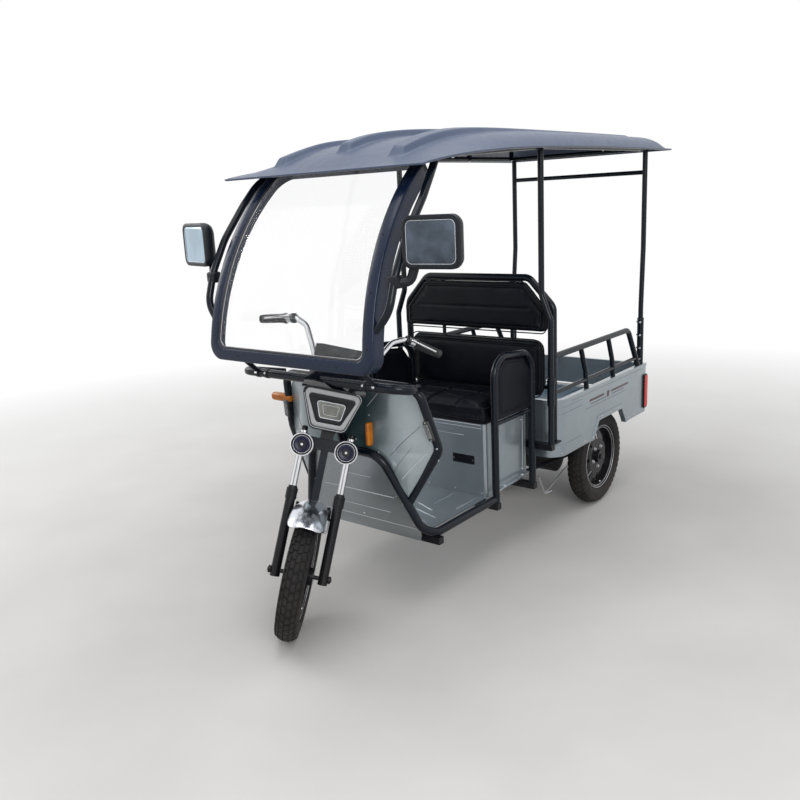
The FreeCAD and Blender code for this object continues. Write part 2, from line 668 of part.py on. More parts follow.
def seat_box():
    """An open box of folded sheet under the cushion."""
    low = FOOTBOARD_TOP
    outline = [at(-SEAT_HALF, SEAT_FRONT, low), at(SEAT_HALF, SEAT_FRONT, low),
               at(SEAT_HALF, SEAT_BACK, low), at(-SEAT_HALF, SEAT_BACK, low)]
    inner = SEAT_HALF - SHEET
    hollow = [at(-inner, SEAT_FRONT + SHEET, low), at(inner, SEAT_FRONT + SHEET, low),
              at(inner, SEAT_BACK - SHEET, low), at(-inner, SEAT_BACK - SHEET, low)]
    tall = Vector(0, 0, SEAT_BOX_TOP - low)
    shell = rounded_prism(outline, 16, tall).cut(rounded_prism(hollow, 12, tall))
    lip = prism([at(-SEAT_HALF + 16, SEAT_FRONT, SEAT_BOX_TOP), at(-SEAT_HALF + 16, SEAT_FRONT - LIP_PROUD, SEAT_BOX_TOP),
                 at(-SEAT_HALF + 16, SEAT_FRONT - LIP_PROUD, SEAT_BOX_TOP - 18),
                 at(-SEAT_HALF + 16, SEAT_FRONT, SEAT_BOX_TOP - 26)], Vector(2 * SEAT_HALF - 32, 0, 0))
    bead = box(at(-SEAT_HALF + 60, SEAT_FRONT - 3, GROOVE_Z), at(SEAT_HALF - 150, SEAT_FRONT + 1, GROOVE_Z + 7))
    panels = [box(at(side * SEAT_HALF, SEAT_FRONT + 60, low + 30), at(side * (SEAT_HALF + 3), SEAT_BACK - 40, SEAT_BOX_TOP - 24))
              for side in SIDES]
    save("seat_box", [join([shell, lip, bead] + panels)])
    pack_gap = 60.0
    pack = box(at(-inner + pack_gap, SEAT_FRONT + pack_gap, low), at(inner - pack_gap, SEAT_BACK - pack_gap, low + 220))
    save("battery_pack", [pack])


def seat_lid():
    """The cushion on its board, which swings forward and up on two front hinges."""
    low = SEAT_BOX_TOP + 0.5
    board = box(at(-SEAT_HALF, SEAT_FRONT + 2, low), at(SEAT_HALF, SEAT_BACK, low + LID_HEIGHT))
    save("seat_board", [board])
    half = ARMREST_X - ARMREST_RADIUS - 8
    base = low + LID_HEIGHT
    outline = [at(-half, SEAT_FRONT - 8, base), at(half, SEAT_FRONT - 8, base),
               at(half, SEAT_BACK + 6, base), at(-half, SEAT_BACK + 6, base)]
    cushion = rounded_prism(outline, 24, Vector(0, 0, CUSHION_HEIGHT))
    top_edges = [edge for edge in cushion.Edges if edge.BoundBox.ZMin > base + CUSHION_HEIGHT - 1]
    save("seat_cushion", [cushion.makeFillet(16, top_edges)])


def backrest():
    """Two pads on a tube frame."""
    y = BACKREST_Y
    upper = [at(-393, y, 984), at(393, y, 984), at(393, y, 1082), at(268, y, 1214), at(-268, y, 1214),
             at(-393, y, 1082)]
    lower = [at(-372, y, 690), at(372, y, 690), at(372, y, 966), at(-372, y, 966)]
    pads = []
    for points, radius in ((upper, 24), (lower, 46)):
        pad = rounded_prism(points, radius, Vector(0, BACKREST_THICKNESS, 0))
        pads.append(pad)
    save("backrest_pads", pads)
    back = FRAME_Y
    path = [at(-FRAME_HALF, back, POST_PLATE_Z), at(-FRAME_HALF, back, 1110), at(-278, back, 1240),
            at(278, back, 1240), at(FRAME_HALF, back, 1110), at(FRAME_HALF, back, POST_PLATE_Z)]
    frame = [tube(path, FRAME_RADIUS, 50)]
    for side in SIDES:
        frame.append(tube([at(side * 190, back, 700), at(side * 190, back, 1240)], 9.0))
    for z in (740, 1050):
        frame.append(tube([at(-FRAME_HALF, back, z), at(FRAME_HALF, back, z)], 9.0))
    save("backrest_frame", [join(frame)])


def armrests():
    frames = []
    panels = []
    for side in SIDES:
        x = side * ARMREST_X
        path = [at(x, ARMREST_FRONT, CROSS_TOP), at(x, ARMREST_FRONT, ARMREST_TOP),
                at(x, ARMREST_BACK, ARMREST_TOP - 30), at(x, ARMREST_BACK, CROSS_TOP)]
        rail = tube([at(x, ARMREST_FRONT, ARMREST_RAIL_Z), at(x, ARMREST_BACK, ARMREST_RAIL_Z)], 9.0)
        frames.append(join([tube(path, ARMREST_RADIUS, 90), rail]))
        low = ARMREST_RAIL_Z + 9.1
        panel = prism([at(x - 2, ARMREST_FRONT, low), at(x - 2, ARMREST_BACK, low),
                       at(x - 2, ARMREST_BACK, ARMREST_TOP - 110), at(x - 2, ARMREST_BACK - 80, ARMREST_TOP - 24),
                       at(x - 2, ARMREST_FRONT + 70, ARMREST_TOP - 6), at(x - 2, ARMREST_FRONT, ARMREST_TOP - 80)],
                      Vector(4, 0, 0)).cut(frames[-1])
        panels.append(max(panel.Solids, key=solid_volume))
    save("armrest_frames", frames)
    save("armrest_panels", panels)


def wall_band(low, high, proud, thickness):
    """A band of the left wall and its turned front corner, standing proud of the outer face."""
    outer = BOX_HALF + proud
    inner = outer - thickness
    corner = BOX_CORNER + proud
    small = corner - thickness
    middle = at(BOX_HALF - BOX_CORNER, BOX_FRONT + BOX_CORNER, low)
    slant = math.sqrt(0.5)
    turn_outer = Part.Arc(middle + Vector(corner, 0, 0), middle + Vector(corner * slant, -corner * slant, 0),
                          middle - Vector(0, corner, 0)).toShape()
    turn_inner = Part.Arc(middle - Vector(0, small, 0), middle + Vector(small * slant, -small * slant, 0),
                          middle + Vector(small, 0, 0)).toShape()
    wire = Part.Wire([
        Part.makeLine(at(outer, BOX_REAR, low), middle + Vector(corner, 0, 0)), turn_outer,
        Part.makeLine(middle - Vector(0, corner, 0), middle - Vector(0, small, 0)), turn_inner,
        Part.makeLine(middle + Vector(small, 0, 0), at(inner, BOX_REAR, low)),
        Part.makeLine(at(inner, BOX_REAR, low), at(outer, BOX_REAR, low)),
    ])
    return Part.Face(wire).extrude(Vector(0, 0, high - low))


def arch_outline(x, grow):
    """The wheel arch seen from the side, grown outward by a margin."""
    low = BOX_BOTTOM - 10
    return [at(x, ARCH_FRONT - grow, low), at(x, ARCH_FRONT + ARCH_SLANT - grow / 2, ARCH_TOP + grow),
            at(x, ARCH_REAR - ARCH_SLANT + grow / 2, ARCH_TOP + grow), at(x, ARCH_REAR + grow, low)]


def side_wall():
    """The left side of the cargo box: turned front corner, pressed ribs, rolled top and flanged wheel arch."""
    wall = wall_band(BOX_BOTTOM, BOX_TOP, 0, BOX_WALL)
    pressings = [wall_band(BOX_TOP - TOP_ROLL, BOX_TOP, BEAD_PROUD, BOX_WALL)]
    beads = [wall_band(z, z + BEAD_HEIGHT, BEAD_PROUD, BOX_WALL / 2) for z in BEAD_LEVELS]
    keep = box(at(0, BOX_FRONT - 2 * BEAD_PROUD, 0), at(BOX_HALF + BOX_WALL, BEAD_END, BOX_TOP))
    pressings += [bead.common(keep) for bead in beads]
    flange = prism(arch_outline(BOX_HALF - 1, ARCH_FLANGE), Vector(1 + BEAD_PROUD, 0, 0))
    wall = join([wall, flange] + pressings)
    wall = wall.cut(box(at(0, ARCH_FRONT - 2 * ARCH_FLANGE, 0), at(2 * BOX_HALF, ARCH_REAR + 2 * ARCH_FLANGE, BOX_BOTTOM)))
    opening = Part.Face(rounded_outline(arch_outline(0, 0), ARCH_BEND)).extrude(Vector(2 * BOX_HALF, 0, 0))
    return wall.cut(opening)


def cargo_box(chassis):
    wall = side_wall()
    save("cargo_side_walls", [wall, mirrored(wall)])
    front_half = BOX_HALF - BOX_CORNER - 0.5
    front = box(at(-front_half, BOX_FRONT, BOX_BOTTOM), at(front_half, BOX_FRONT + BOX_WALL, BOX_TOP))
    save("cargo_wall_front", [front.cut(chassis)])
    inner = BOX_HALF - BOX_WALL - 0.5
    floor = box(at(-inner, BOX_FRONT + BOX_CORNER, BOX_FLOOR - SHEET), at(inner, BOX_REAR - 22, BOX_FLOOR))
    front_floor = box(at(-front_half, BOX_FRONT + BOX_WALL, BOX_FLOOR - SHEET),
                      at(front_half, BOX_FRONT + BOX_CORNER, BOX_FLOOR))
    save("cargo_floor", [join([floor, front_floor])])
    half = BOX_HALF - BOX_WALL - GATE_GAP
    gate = box(at(-half, BOX_REAR - GATE_THICKNESS, BOX_FLOOR + 12), at(half, BOX_REAR, BOX_TOP))
    pieces = [gate]
    for side in SIDES:
        x = side * GATE_HINGE_X
        pieces.append(box(at(x - 25, BOX_REAR, GATE_HINGE_Z), at(x + 25, BOX_REAR + 4, GATE_HINGE_Z + 56)))
        pieces.append(Part.makeCylinder(GATE_KNUCKLE, 50, at(x - 25, GATE_HINGE_Y, GATE_HINGE_Z), X_AXIS))
    gate = join(pieces)
    for side in SIDES:
        bore = Part.makeCylinder(GATE_PIN + 0.3, 60, at(side * GATE_HINGE_X - 30, GATE_HINGE_Y, GATE_HINGE_Z), X_AXIS)
        gate = gate.cut(bore)
    save("tailgate", [gate])


def cargo_rails():
    rails = []
    for side in SIDES:
        x = side * (BOX_HALF - 10)
        upper = tube([at(x, FRAME_Y, RAIL_TOP_Z), at(x, 2066, RAIL_TOP_Z), at(x, 2206, BOX_TOP - 10)], RAIL_RADIUS, 60)
        lower = tube([at(x, FRAME_Y, RAIL_LOW_Z), at(x, 2172, RAIL_LOW_Z)], 9.0)
        pieces = [upper, lower]
        for y in (1540, 1832):
            pieces.append(tube([at(x, y, BOX_TOP - 10), at(x, y - 30, RAIL_TOP_Z)], 8.0))
        upright = Part.makeCylinder(FRAME_RADIUS, BOX_REAR, at(side * FRAME_HALF, FRAME_Y, 0), Z_AXIS)
        wall = box(at(x - 40, BOX_FRONT, BOX_BOTTOM), at(x + 40, BOX_REAR, BOX_TOP))
        seated = join(pieces).cut(upright).cut(wall)
        rails.append(max(seated.Solids, key=solid_volume))
    save("cargo_rails", rails)


def roof_edge_z(y):
    run = y - ROOF_FRONT
    return ROOF_EDGE_FRONT_Z + 0.023 * run + 28.0 * (1 - math.exp(-run / 300.0))


def roof_z(x, y):
    """Height of the roof's upper face."""
    run = max(y - ROOF_FRONT, 0.0)
    rise = 112.0 * (1 - math.exp(-(run / 250.0) ** 1.3))
    tail = max(run - (ROOF_LENGTH - 130.0), 0.0) / 130.0
    rise -= 46.0 * tail * tail
    share = abs(2 * x / ROOF_WIDTH) ** 3.2
    return roof_edge_z(y) + rise * (1 - share)


def rib_section(x, y, height):
    """A cross-section of a roof rib, narrower above than below."""
    low = RIB_WIDTH / 2
    top = low - RIB_DRAFT
    base = roof_z(x, y)
    points = [at(x - low, y, base - RIB_BURY), at(x + low, y, base - RIB_BURY), at(x + low, y, base + height - RIB_EDGE),
              at(x + top, y, base + height), at(x - top, y, base + height), at(x - low, y, base + height - RIB_EDGE)]
    return Part.makePolygon(points + points[:1])


def roof_rib(x, start):
    """A flat topped rib that lies along the roof, with a slanted blunt front end."""
    stop = ROOF_FRONT + ROOF_LENGTH - RIB_TAIL
    stations = [start + (stop - start) * (index / 12.0) ** 1.4 for index in range(13)]
    body = Part.makeLoft([rib_section(x, y, RIB_HEIGHT) for y in stations], True, False)
    nose = Part.makeLoft([rib_section(x, start - RIB_NOSE, 0), rib_section(x, start, RIB_HEIGHT)], True, True)
    tail = Part.makeLoft([rib_section(x, stop, RIB_HEIGHT), rib_section(x, stop + RIB_NOSE, 0)], True, True)
    return join([body, nose, tail])


def roof_canopy():
    """A thin moulded roof: a visor that rises from the front edge, round shoulders and three long ribs."""
    thickness = 5.0
    half = ROOF_WIDTH / 2
    across = [half * math.sin(math.pi * (index / 16.0 - 0.5)) for index in range(17)]
    along = [ROOF_FRONT + ROOF_LENGTH * (index / 18.0) ** 1.25 for index in range(19)]
    top = patch([[at(x, y, roof_z(x, y)) for x in across] for y in along])
    shell = top.extrude(Vector(0, 0, -thickness))
    under = top.extrude(Vector(0, 0, -4 * RIB_BURY)).translated(Vector(0, 0, -1))
    ribs = [roof_rib(x, start).cut(under) for x, start in ((-RIB_X, RIB_START), (0, RIB_MIDDLE_START), (RIB_X, RIB_START))]
    canopy = join([shell] + ribs)
    save("roof_canopy", [canopy])
    return shell


def canopy_frame(screen_frame, roof):
    """Posts, roof rails and the tubes beside the windscreen."""
    pieces = []
    rail_start = 400.0
    rear_top = roof_edge_z(REAR_POST_Y) - 12
    front_top = roof_edge_z(rail_start) - 8
    for side in SIDES:
        mid_top = roof_edge_z(MID_POST_Y) - 6
        pieces.append(tube([at(side * MID_POST_X, MID_POST_Y, mid_top), at(side * MID_POST_X, MID_POST_Y, 1150),
                            at(side * MID_POST_LOW_X, MID_POST_Y, 965),
                            at(side * MID_POST_LOW_X, MID_POST_Y, POST_PLATE_Z)], POST_RADIUS, 120))
        pieces.append(tube([at(side * REAR_POST_X, REAR_POST_Y, BOX_FLOOR), at(side * REAR_POST_X, REAR_POST_Y, rear_top)],
                           POST_RADIUS))
        pieces.append(tube([at(side * MID_POST_X, rail_start, front_top), at(side * MID_POST_X, MID_POST_Y, mid_top),
                            at(side * REAR_POST_X, REAR_POST_Y, rear_top)], 12.0, 300))
        pieces.append(tube([at(side * 398, 62, 1190), at(side * 442, 92, 1300), at(side * 432, 220, 1490),
                            at(side * 430, 372, 1688), at(side * MID_POST_X, 430, front_top)],
                           SUPPORT_RADIUS, 60))
    pieces.append(tube([at(-REAR_POST_X, REAR_POST_Y, CROSS_RAIL_Z), at(REAR_POST_X, REAR_POST_Y, CROSS_RAIL_Z)], 11.0))
    pieces.append(tube([at(-REAR_POST_X, REAR_POST_Y, rear_top), at(REAR_POST_X, REAR_POST_Y, rear_top)], 11.0))
    pieces.append(tube([at(-MID_POST_X, MID_POST_Y, roof_edge_z(MID_POST_Y) - 6),
                        at(MID_POST_X, MID_POST_Y, roof_edge_z(MID_POST_Y) - 6)], 11.0))
    for side in SIDES:
        clamp = Part.makeCylinder(POST_RADIUS + 6, 26, at(side * MID_POST_LOW_X, MID_POST_Y, CLAMP_Z), Z_AXIS)
        sleeve = Part.makeCylinder(POST_RADIUS + 4, CLAMP_Z - BOX_TOP, at(side * MID_POST_LOW_X, MID_POST_Y, BOX_TOP), Z_AXIS)
        foot = Part.makeCylinder(POST_RADIUS + 3, REAR_SLEEVE_TOP - BOX_FLOOR, at(side * REAR_POST_X, REAR_POST_Y, BOX_FLOOR), Z_AXIS)
        pieces += [clamp, sleeve, foot]
        for y in (520.0, MID_POST_Y, 1800.0, REAR_POST_Y):
            low = roof_edge_z(y) - 8
            high = roof_z(MID_POST_X + 6, y) - 4
            pieces.append(box(at(side * 384 - 8, y - 14, low), at(side * 384 + 8, y + 14, high)))
    frame = join(pieces).cut(screen_frame).cut(roof)
    frame = max(frame.Solids, key=solid_volume)
    save("canopy_frame", [frame])
    return frame


def screen_arc_centre():
    """Centre and radius of the arc that the windscreen follows, seen from the side."""
    points = [at(0, SCREEN_BOTTOM_Y, SCREEN_BOTTOM_Z), at(0, 122, 1388), at(0, SCREEN_TOP_Y, SCREEN_TOP_Z)]
    circle = Part.Arc(*points).toShape().Curve
    return circle.Center, circle.Radius


def screen_slab(offset, thickness):
    """A bent slab across the vehicle that follows the windscreen's arc."""
    centre, radius = screen_arc_centre()
    wide = 2 * SCREEN_BOTTOM_HALF
    low = Vector(-wide, centre.y, centre.z)
    outer = Part.makeCylinder(radius + offset + thickness / 2, 2 * wide, low, X_AXIS)
    inner = Part.makeCylinder(radius + offset - thickness / 2, 2 * wide, low, X_AXIS)
    return outer.cut(inner)


def screen_outline(inset, radius):
    """The windscreen's outline seen from the front, pushed through its depth."""
    bottom = SCREEN_BOTTOM_HALF + SCREEN_MEMBER / 2 - inset
    top = SCREEN_TOP_HALF + SCREEN_MEMBER / 2 - inset
    low = SCREEN_BOTTOM_Z - SCREEN_MEMBER / 2 + inset
    high = SCREEN_TOP_Z + 12 - inset
    points = [at(-bottom, -40, low), at(bottom, -40, low), at(top, -40, high), at(-top, -40, high)]
    return rounded_prism(points, radius, Vector(0, 520, 0))


def windscreen():
    frame = screen_slab(0, SCREEN_DEPTH).common(screen_outline(0, 62)).cut(screen_outline(SCREEN_MEMBER, 26))
    frame = frame.makeFillet(SCREEN_EDGE, frame.Edges)
    save("windscreen_frame", [frame])
    glass = screen_slab(0, GLASS_THICKNESS).common(screen_outline(SCREEN_MEMBER + 0.2, 25.8))
    save("windscreen_glass", [glass])
    return frame


def mirrors(canopy):
    housings = []
    glasses = []
    for side in SIDES:
        half = MIRROR_WIDTH / 2
        tall = MIRROR_TALL / 2
        x = side * MIRROR_X
        outline = [at(x - half, MIRROR_Y, MIRROR_Z - tall), at(x + half, MIRROR_Y, MIRROR_Z - tall),
                   at(x + half, MIRROR_Y, MIRROR_Z + tall), at(x - half, MIRROR_Y, MIRROR_Z + tall)]
        back = [at(x + (point.x - x) * MIRROR_TAPER, MIRROR_Y + MIRROR_DEPTH, MIRROR_Z + (point.z - MIRROR_Z) * MIRROR_TAPER)
                for point in outline]
        middle = [point + Vector(0, MIRROR_DEPTH * 0.45, 0) for point in outline]
        shell = Part.makeLoft([rounded_outline(middle, 30), rounded_outline(back, 34)], True, True)
        body = join([rounded_prism(outline, 30, Vector(0, MIRROR_DEPTH * 0.45, 0)), shell])
        rim = MIRROR_RIM
        window = [at(x - half + rim, MIRROR_Y, MIRROR_Z - tall + rim), at(x + half - rim, MIRROR_Y, MIRROR_Z - tall + rim),
                  at(x + half - rim, MIRROR_Y, MIRROR_Z + tall - rim), at(x - half + rim, MIRROR_Y, MIRROR_Z + tall - rim)]
        body = body.cut(rounded_prism(window, 20, Vector(0, 8, 0)))
        glass = rounded_prism(window, 20, Vector(0, MIRROR_GLASS, 0))
        glass.translate(Vector(0, 3, 0))
        arm = tube([at(side * 447, 104, 1322), at(side * 482, 140, 1322), at(side * 512, 152, 1400)], 13.0, 30)
        mirror = join([body, arm]).cut(canopy)
        housings.append(max(mirror.Solids, key=solid_volume))
        glasses.append(glass)
    save("mirror_housings", housings)
    save("mirror_glasses", glasses)


def small_lamps(guard, shield):
    red = []
    for side in SIDES:
        x = side * (BOX_HALF - 9)
        red.append(box(at(x - 14, BOX_REAR, 430), at(x + 14, BOX_REAR + 14, 640)))
    save("rear_lamps", red)
    far = rounded_prism([at(-340, 378, 788), at(-340, 378, 822), at(-340, 350, 822), at(-340, 350, 788)], 9,
                        Vector(-116, 0, 0)).cut(guard)
    near = rounded_prism([at(114, 286, 680), at(142, 286, 680), at(142, 322, 680), at(114, 322, 680)], 9,
                         Vector(0, 0, 88)).cut(shield)
    save("turn_signals", [max(lamp.Solids, key=solid_volume) for lamp in (far, near)])


def brake_pedal():
    """A bent arm that rises through the floor and carries a flat pad."""
    arm = tube([at(PEDAL_X, 446, CROSS_TOP - 8), at(PEDAL_X, 432, FOOTBOARD_TOP + 11), at(PEDAL_X, 402, PEDAL_Z)], 6, 30)
    face = [at(PEDAL_X - 28, 410, PEDAL_Z - 16), at(PEDAL_X - 28, 403, PEDAL_Z - 19), at(PEDAL_X - 28, 386, PEDAL_Z + 20),
            at(PEDAL_X - 28, 393, PEDAL_Z + 23)]
    return join([arm, prism(face, Vector(56, 0, 0))])


def chassis_frame():
    """Two long rails that step up behind the seat, with cross members, outriggers and the brake pedal."""
    pieces = [brake_pedal()]
    half_w = RAIL_WIDTH / 2
    half_h = RAIL_HEIGHT / 2
    for side in SIDES:
        x = side * RAIL_X
        profile = [at(x - half_w, 420, LOW_RAIL_Z - half_h), at(x - half_w, 1246, LOW_RAIL_Z - half_h),
                   at(x - half_w, 1340, HIGH_RAIL_Z - half_h), at(x - half_w, BOX_REAR - 22, HIGH_RAIL_Z - half_h),
                   at(x - half_w, BOX_REAR - 22, HIGH_RAIL_Z + half_h), at(x - half_w, 1314, HIGH_RAIL_Z + half_h),
                   at(x - half_w, 1218, LOW_RAIL_Z + half_h), at(x - half_w, 420, LOW_RAIL_Z + half_h)]
        pieces.append(prism(profile, Vector(RAIL_WIDTH, 0, 0)))
    for y in (440.0, ARMREST_FRONT, ARMREST_BACK):
        pieces.append(box(at(-ARMREST_X - 16, y - 15, CROSS_TOP - 28), at(ARMREST_X + 16, y + 15, CROSS_TOP)))
    for y in (1350.0, 1640.0, 2086.0, 2240.0):
        pieces.append(box(at(-RAIL_X, y - 15, HIGH_RAIL_Z - 14), at(RAIL_X, y + 15, HIGH_RAIL_Z + 14)))
    pieces.append(box(at(-426, MID_POST_Y - 6, POST_PLATE_Z - 30), at(426, MID_POST_Y + 24, POST_PLATE_Z)))
    for side in SIDES:
        pieces.append(box(at(side * RAIL_X - half_w, MID_POST_Y - 6, LOW_RAIL_Z),
                          at(side * RAIL_X + half_w, MID_POST_Y + 24, POST_PLATE_Z)))
        pieces.append(box(at(side * 386, MID_POST_Y - 14, POST_PLATE_Z - 8), at(side * 428, BOX_FRONT, POST_PLATE_Z)))
        for y in (WHEELBASE - SPRING_HALF, WHEELBASE + SPRING_HALF):
            pieces.append(box(at(side * SPRING_X - 15, y - 15, 388), at(side * SPRING_X + 15, y + 15, HIGH_RAIL_Z)))
    inner = BOX_HALF - BOX_WALL - 0.5
    sill = box(at(-inner, BOX_REAR - 22, BOX_BOTTOM + 10), at(inner, SILL_BACK, BOX_FLOOR))
    for side in SIDES:
        sill = sill.cut(Part.makeCylinder(PLATE_HOLE, 60, at(side * PLATE_SPACING / 2, BOX_REAR - 40, PLATE_Z), Y_AXIS))
        x = side * GATE_HINGE_X
        pieces.append(Part.makeCylinder(GATE_PIN, 90, at(x - 45, GATE_HINGE_Y, GATE_HINGE_Z), X_AXIS))
        for end in (-45, 35):
            pieces.append(box(at(x + end, SILL_BACK, GATE_HINGE_Z - 22), at(x + end + 10, GATE_HINGE_Y + 5, GATE_HINGE_Z - 4)))
            pieces.append(Part.makeCylinder(GATE_KNUCKLE, 10, at(x + end, GATE_HINGE_Y, GATE_HINGE_Z), X_AXIS))
    frame = join(pieces + [sill])
    save("chassis_frame", [frame])
    return frame


def rear_axle(chassis):
    """Axle tube with its stubs and drive housing, on two leaf springs."""
    centre = at(0, WHEELBASE, TYRE_RADIUS)
    beam = Part.makeCylinder(REAR_AXLE_RADIUS, 2 * REAR_AXLE_HALF, centre - X_AXIS * REAR_AXLE_HALF, X_AXIS)
    stub_half = TRACK / 2 + REAR_HUB_LENGTH / 2 + 6
    stub = Part.makeCylinder(STUB_RADIUS, 2 * stub_half, centre - X_AXIS * stub_half, X_AXIS)
    housing = revolve_x([(-84, 30), (-60, 74), (-26, 88), (26, 88), (60, 74), (84, 30), (84, 10), (-84, 10)], centre)
    motor = Part.makeCylinder(78, 190, centre + Vector(-30, -112, 0), X_AXIS)
    plates = [Part.makeCylinder(84, 10, centre + X_AXIS * side * (REAR_AXLE_HALF - 10), X_AXIS * side)
              for side in SIDES]
    rods = [tube([at(side * RAIL_X, 1236, LOW_RAIL_Z - 10), at(side * RAIL_X, WHEELBASE - REAR_AXLE_RADIUS / 2, TYRE_RADIUS)],
                 ROD_RADIUS).cut(chassis) for side in SIDES]
    save("rear_axle", [join([beam, stub, housing, motor] + plates + rods)])
    springs = []
    for side in SIDES:
        leaves = []
        x = side * SPRING_X - SPRING_WIDTH / 2
        for leaf in range(3):
            reach = SPRING_HALF - 70 * leaf
            low = TYRE_RADIUS + REAR_AXLE_RADIUS + 0.3 + SPRING_LEAF * (2 - leaf)
            sag = 92.0 * (reach / SPRING_HALF) ** 2
            bottom = Part.Arc(at(x, WHEELBASE - reach, low + sag), at(x, WHEELBASE, low),
                              at(x, WHEELBASE + reach, low + sag)).toShape()
            top = Part.Arc(at(x, WHEELBASE + reach, low + sag + SPRING_LEAF), at(x, WHEELBASE, low + SPRING_LEAF),
                           at(x, WHEELBASE - reach, low + sag + SPRING_LEAF)).toShape()
            ends = [Part.makeLine(at(x, WHEELBASE + reach, low + sag), at(x, WHEELBASE + reach, low + sag + SPRING_LEAF)),
                    Part.makeLine(at(x, WHEELBASE - reach, low + sag + SPRING_LEAF), at(x, WHEELBASE - reach, low + sag))]
            leaves.append(Part.Face(Part.Wire([bottom, ends[0], top, ends[1]])).extrude(Vector(SPRING_WIDTH, 0, 0)))
        springs.append(join(leaves))
    save("leaf_springs", springs)


front_wheel()
rear_wheels()
fork_yoke()
sliders_shape = fork_legs()
handlebar()
instrument_housing()
headlamp()
fork_lamps()
front_mudguard(sliders_shape)
screen_frame_shape = windscreen()
guard_shape = guard_tubes(screen_frame_shape)
shield_shape = leg_shields(guard_shape)
front_apron(guard_shape)
chassis_shape = chassis_frame()
footboard(guard_shape, chassis_shape)
seat_box()
seat_lid()
backrest()
armrests()
cargo_box(chassis_shape)
cargo_rails()
roof_shape = roof_canopy()
canopy_shape = canopy_frame(screen_frame_shape, roof_shape)
mirrors(canopy_shape)
small_lamps(guard_shape, shield_shape)
rear_axle(chassis_shape)
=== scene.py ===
import json
import math

import bmesh
import bpy
from mathutils import Matrix, Vector, noise
from mathutils.bvhtree import BVHTree


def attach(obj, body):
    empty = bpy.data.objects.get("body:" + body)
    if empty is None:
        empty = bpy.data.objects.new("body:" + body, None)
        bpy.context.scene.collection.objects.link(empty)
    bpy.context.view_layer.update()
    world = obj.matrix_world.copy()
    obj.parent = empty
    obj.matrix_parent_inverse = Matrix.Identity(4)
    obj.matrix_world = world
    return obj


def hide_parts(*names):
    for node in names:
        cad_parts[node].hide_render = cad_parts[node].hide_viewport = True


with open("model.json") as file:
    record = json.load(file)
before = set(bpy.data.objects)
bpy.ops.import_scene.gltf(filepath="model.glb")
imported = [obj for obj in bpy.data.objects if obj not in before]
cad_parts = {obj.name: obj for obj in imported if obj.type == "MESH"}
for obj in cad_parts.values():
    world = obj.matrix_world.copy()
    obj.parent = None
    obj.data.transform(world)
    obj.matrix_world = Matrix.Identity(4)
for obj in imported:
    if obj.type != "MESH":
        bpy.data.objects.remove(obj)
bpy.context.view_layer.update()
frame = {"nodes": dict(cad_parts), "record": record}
NODES = frame["nodes"]
JOINTS = {joint["name"]: joint for joint in frame["record"]["behaviour"]["joints"]}
FRONT_AXLE_Y = JOINTS["front_wheel_spin"]["pos_m"][1]


ACROSS = Vector((1, 0, 0))
BACK = Vector((0, 1, 0))
UP = Vector((0, 0, 1))


def at(x, y, z):
    """A point in metres from millimetres, y counted back from the front axle."""
    return Vector((x / 1000, y / 1000 + FRONT_AXLE_Y, z / 1000))


def placed(name, data):
    """A new object in the scene."""
    made = bpy.data.objects.new(name, data)
    bpy.context.collection.objects.link(made)
    return made


# Camera at the photograph's viewing angle
YAW = math.radians(38.981)
PITCH = math.radians(13.477)
ROLL = math.radians(2.7845)
ahead = Vector((-math.sin(YAW) * math.cos(PITCH), math.cos(YAW) * math.cos(PITCH), -math.sin(PITCH)))
level_right = Vector((math.cos(YAW), math.sin(YAW), 0))
level_down = ahead.cross(level_right)
right = level_right * math.cos(ROLL) + level_down * math.sin(ROLL)
down = level_down * math.cos(ROLL) - level_right * math.sin(ROLL)
camera_data = bpy.data.cameras.new("camera")
camera_data.sensor_width = 36
camera_data.lens = 36.79
camera_data.clip_end = 200
camera = placed("camera", camera_data)
camera.matrix_world = Matrix.Translation(at(2109.5, -1948.9, 1575)) @ Matrix(
    (right, -down, -ahead)).transposed().to_4x4()
bpy.context.scene.camera = camera
bpy.context.scene.view_settings.view_transform = "Standard"


# Materials

def node_tree(name):
    """A new material with its tree, its shader and the coordinates of the object that wears it."""
    made = bpy.data.materials.new(name)
    made.use_nodes = True
    tree = made.node_tree
    shader = tree.nodes["Principled BSDF"]
    place = tree.nodes.new("ShaderNodeTexCoord")
    return made, tree, shader, place.outputs["Object"]


def noise_node(tree, place, scale, detail=3.0, rough=0.5):
    """Noise of a scale given in cycles a metre."""
    made = tree.nodes.new("ShaderNodeTexNoise")
    made.inputs["Scale"].default_value = scale
    made.inputs["Detail"].default_value = detail
    made.inputs["Roughness"].default_value = rough
    tree.links.new(place, made.inputs["Vector"])
    return made.outputs["Fac"]


def ramp(tree, source, low, high, start=0.35, stop=0.65):
    """Two colours, one at each end of a range of a value."""
    made = tree.nodes.new("ShaderNodeValToRGB")
    made.color_ramp.elements[0].position = start
    made.color_ramp.elements[1].position = stop
    made.color_ramp.elements[0].color = (*low, 1)
    made.color_ramp.elements[1].color = (*high, 1)
    tree.links.new(source, made.inputs["Fac"])
    return made.outputs["Color"]


def spread(tree, source, low, high, start=0.3, stop=0.7):
    """A value that runs from low to high while the source runs from start to stop."""
    made = tree.nodes.new("ShaderNodeMapRange")
    made.inputs["From Min"].default_value = start
    made.inputs["From Max"].default_value = stop
    made.inputs["To Min"].default_value = low
    made.inputs["To Max"].default_value = high
    tree.links.new(source, made.inputs["Value"])
    return made.outputs["Result"]


def bump(tree, shader, source, strength, distance):
    """Raises the shader's surface by a source."""
    made = tree.nodes.new("ShaderNodeBump")
    made.inputs["Strength"].default_value = strength
    made.inputs["Distance"].default_value = distance
    tree.links.new(source, made.inputs["Height"])
    tree.links.new(made.outputs["Normal"], shader.inputs["Normal"])


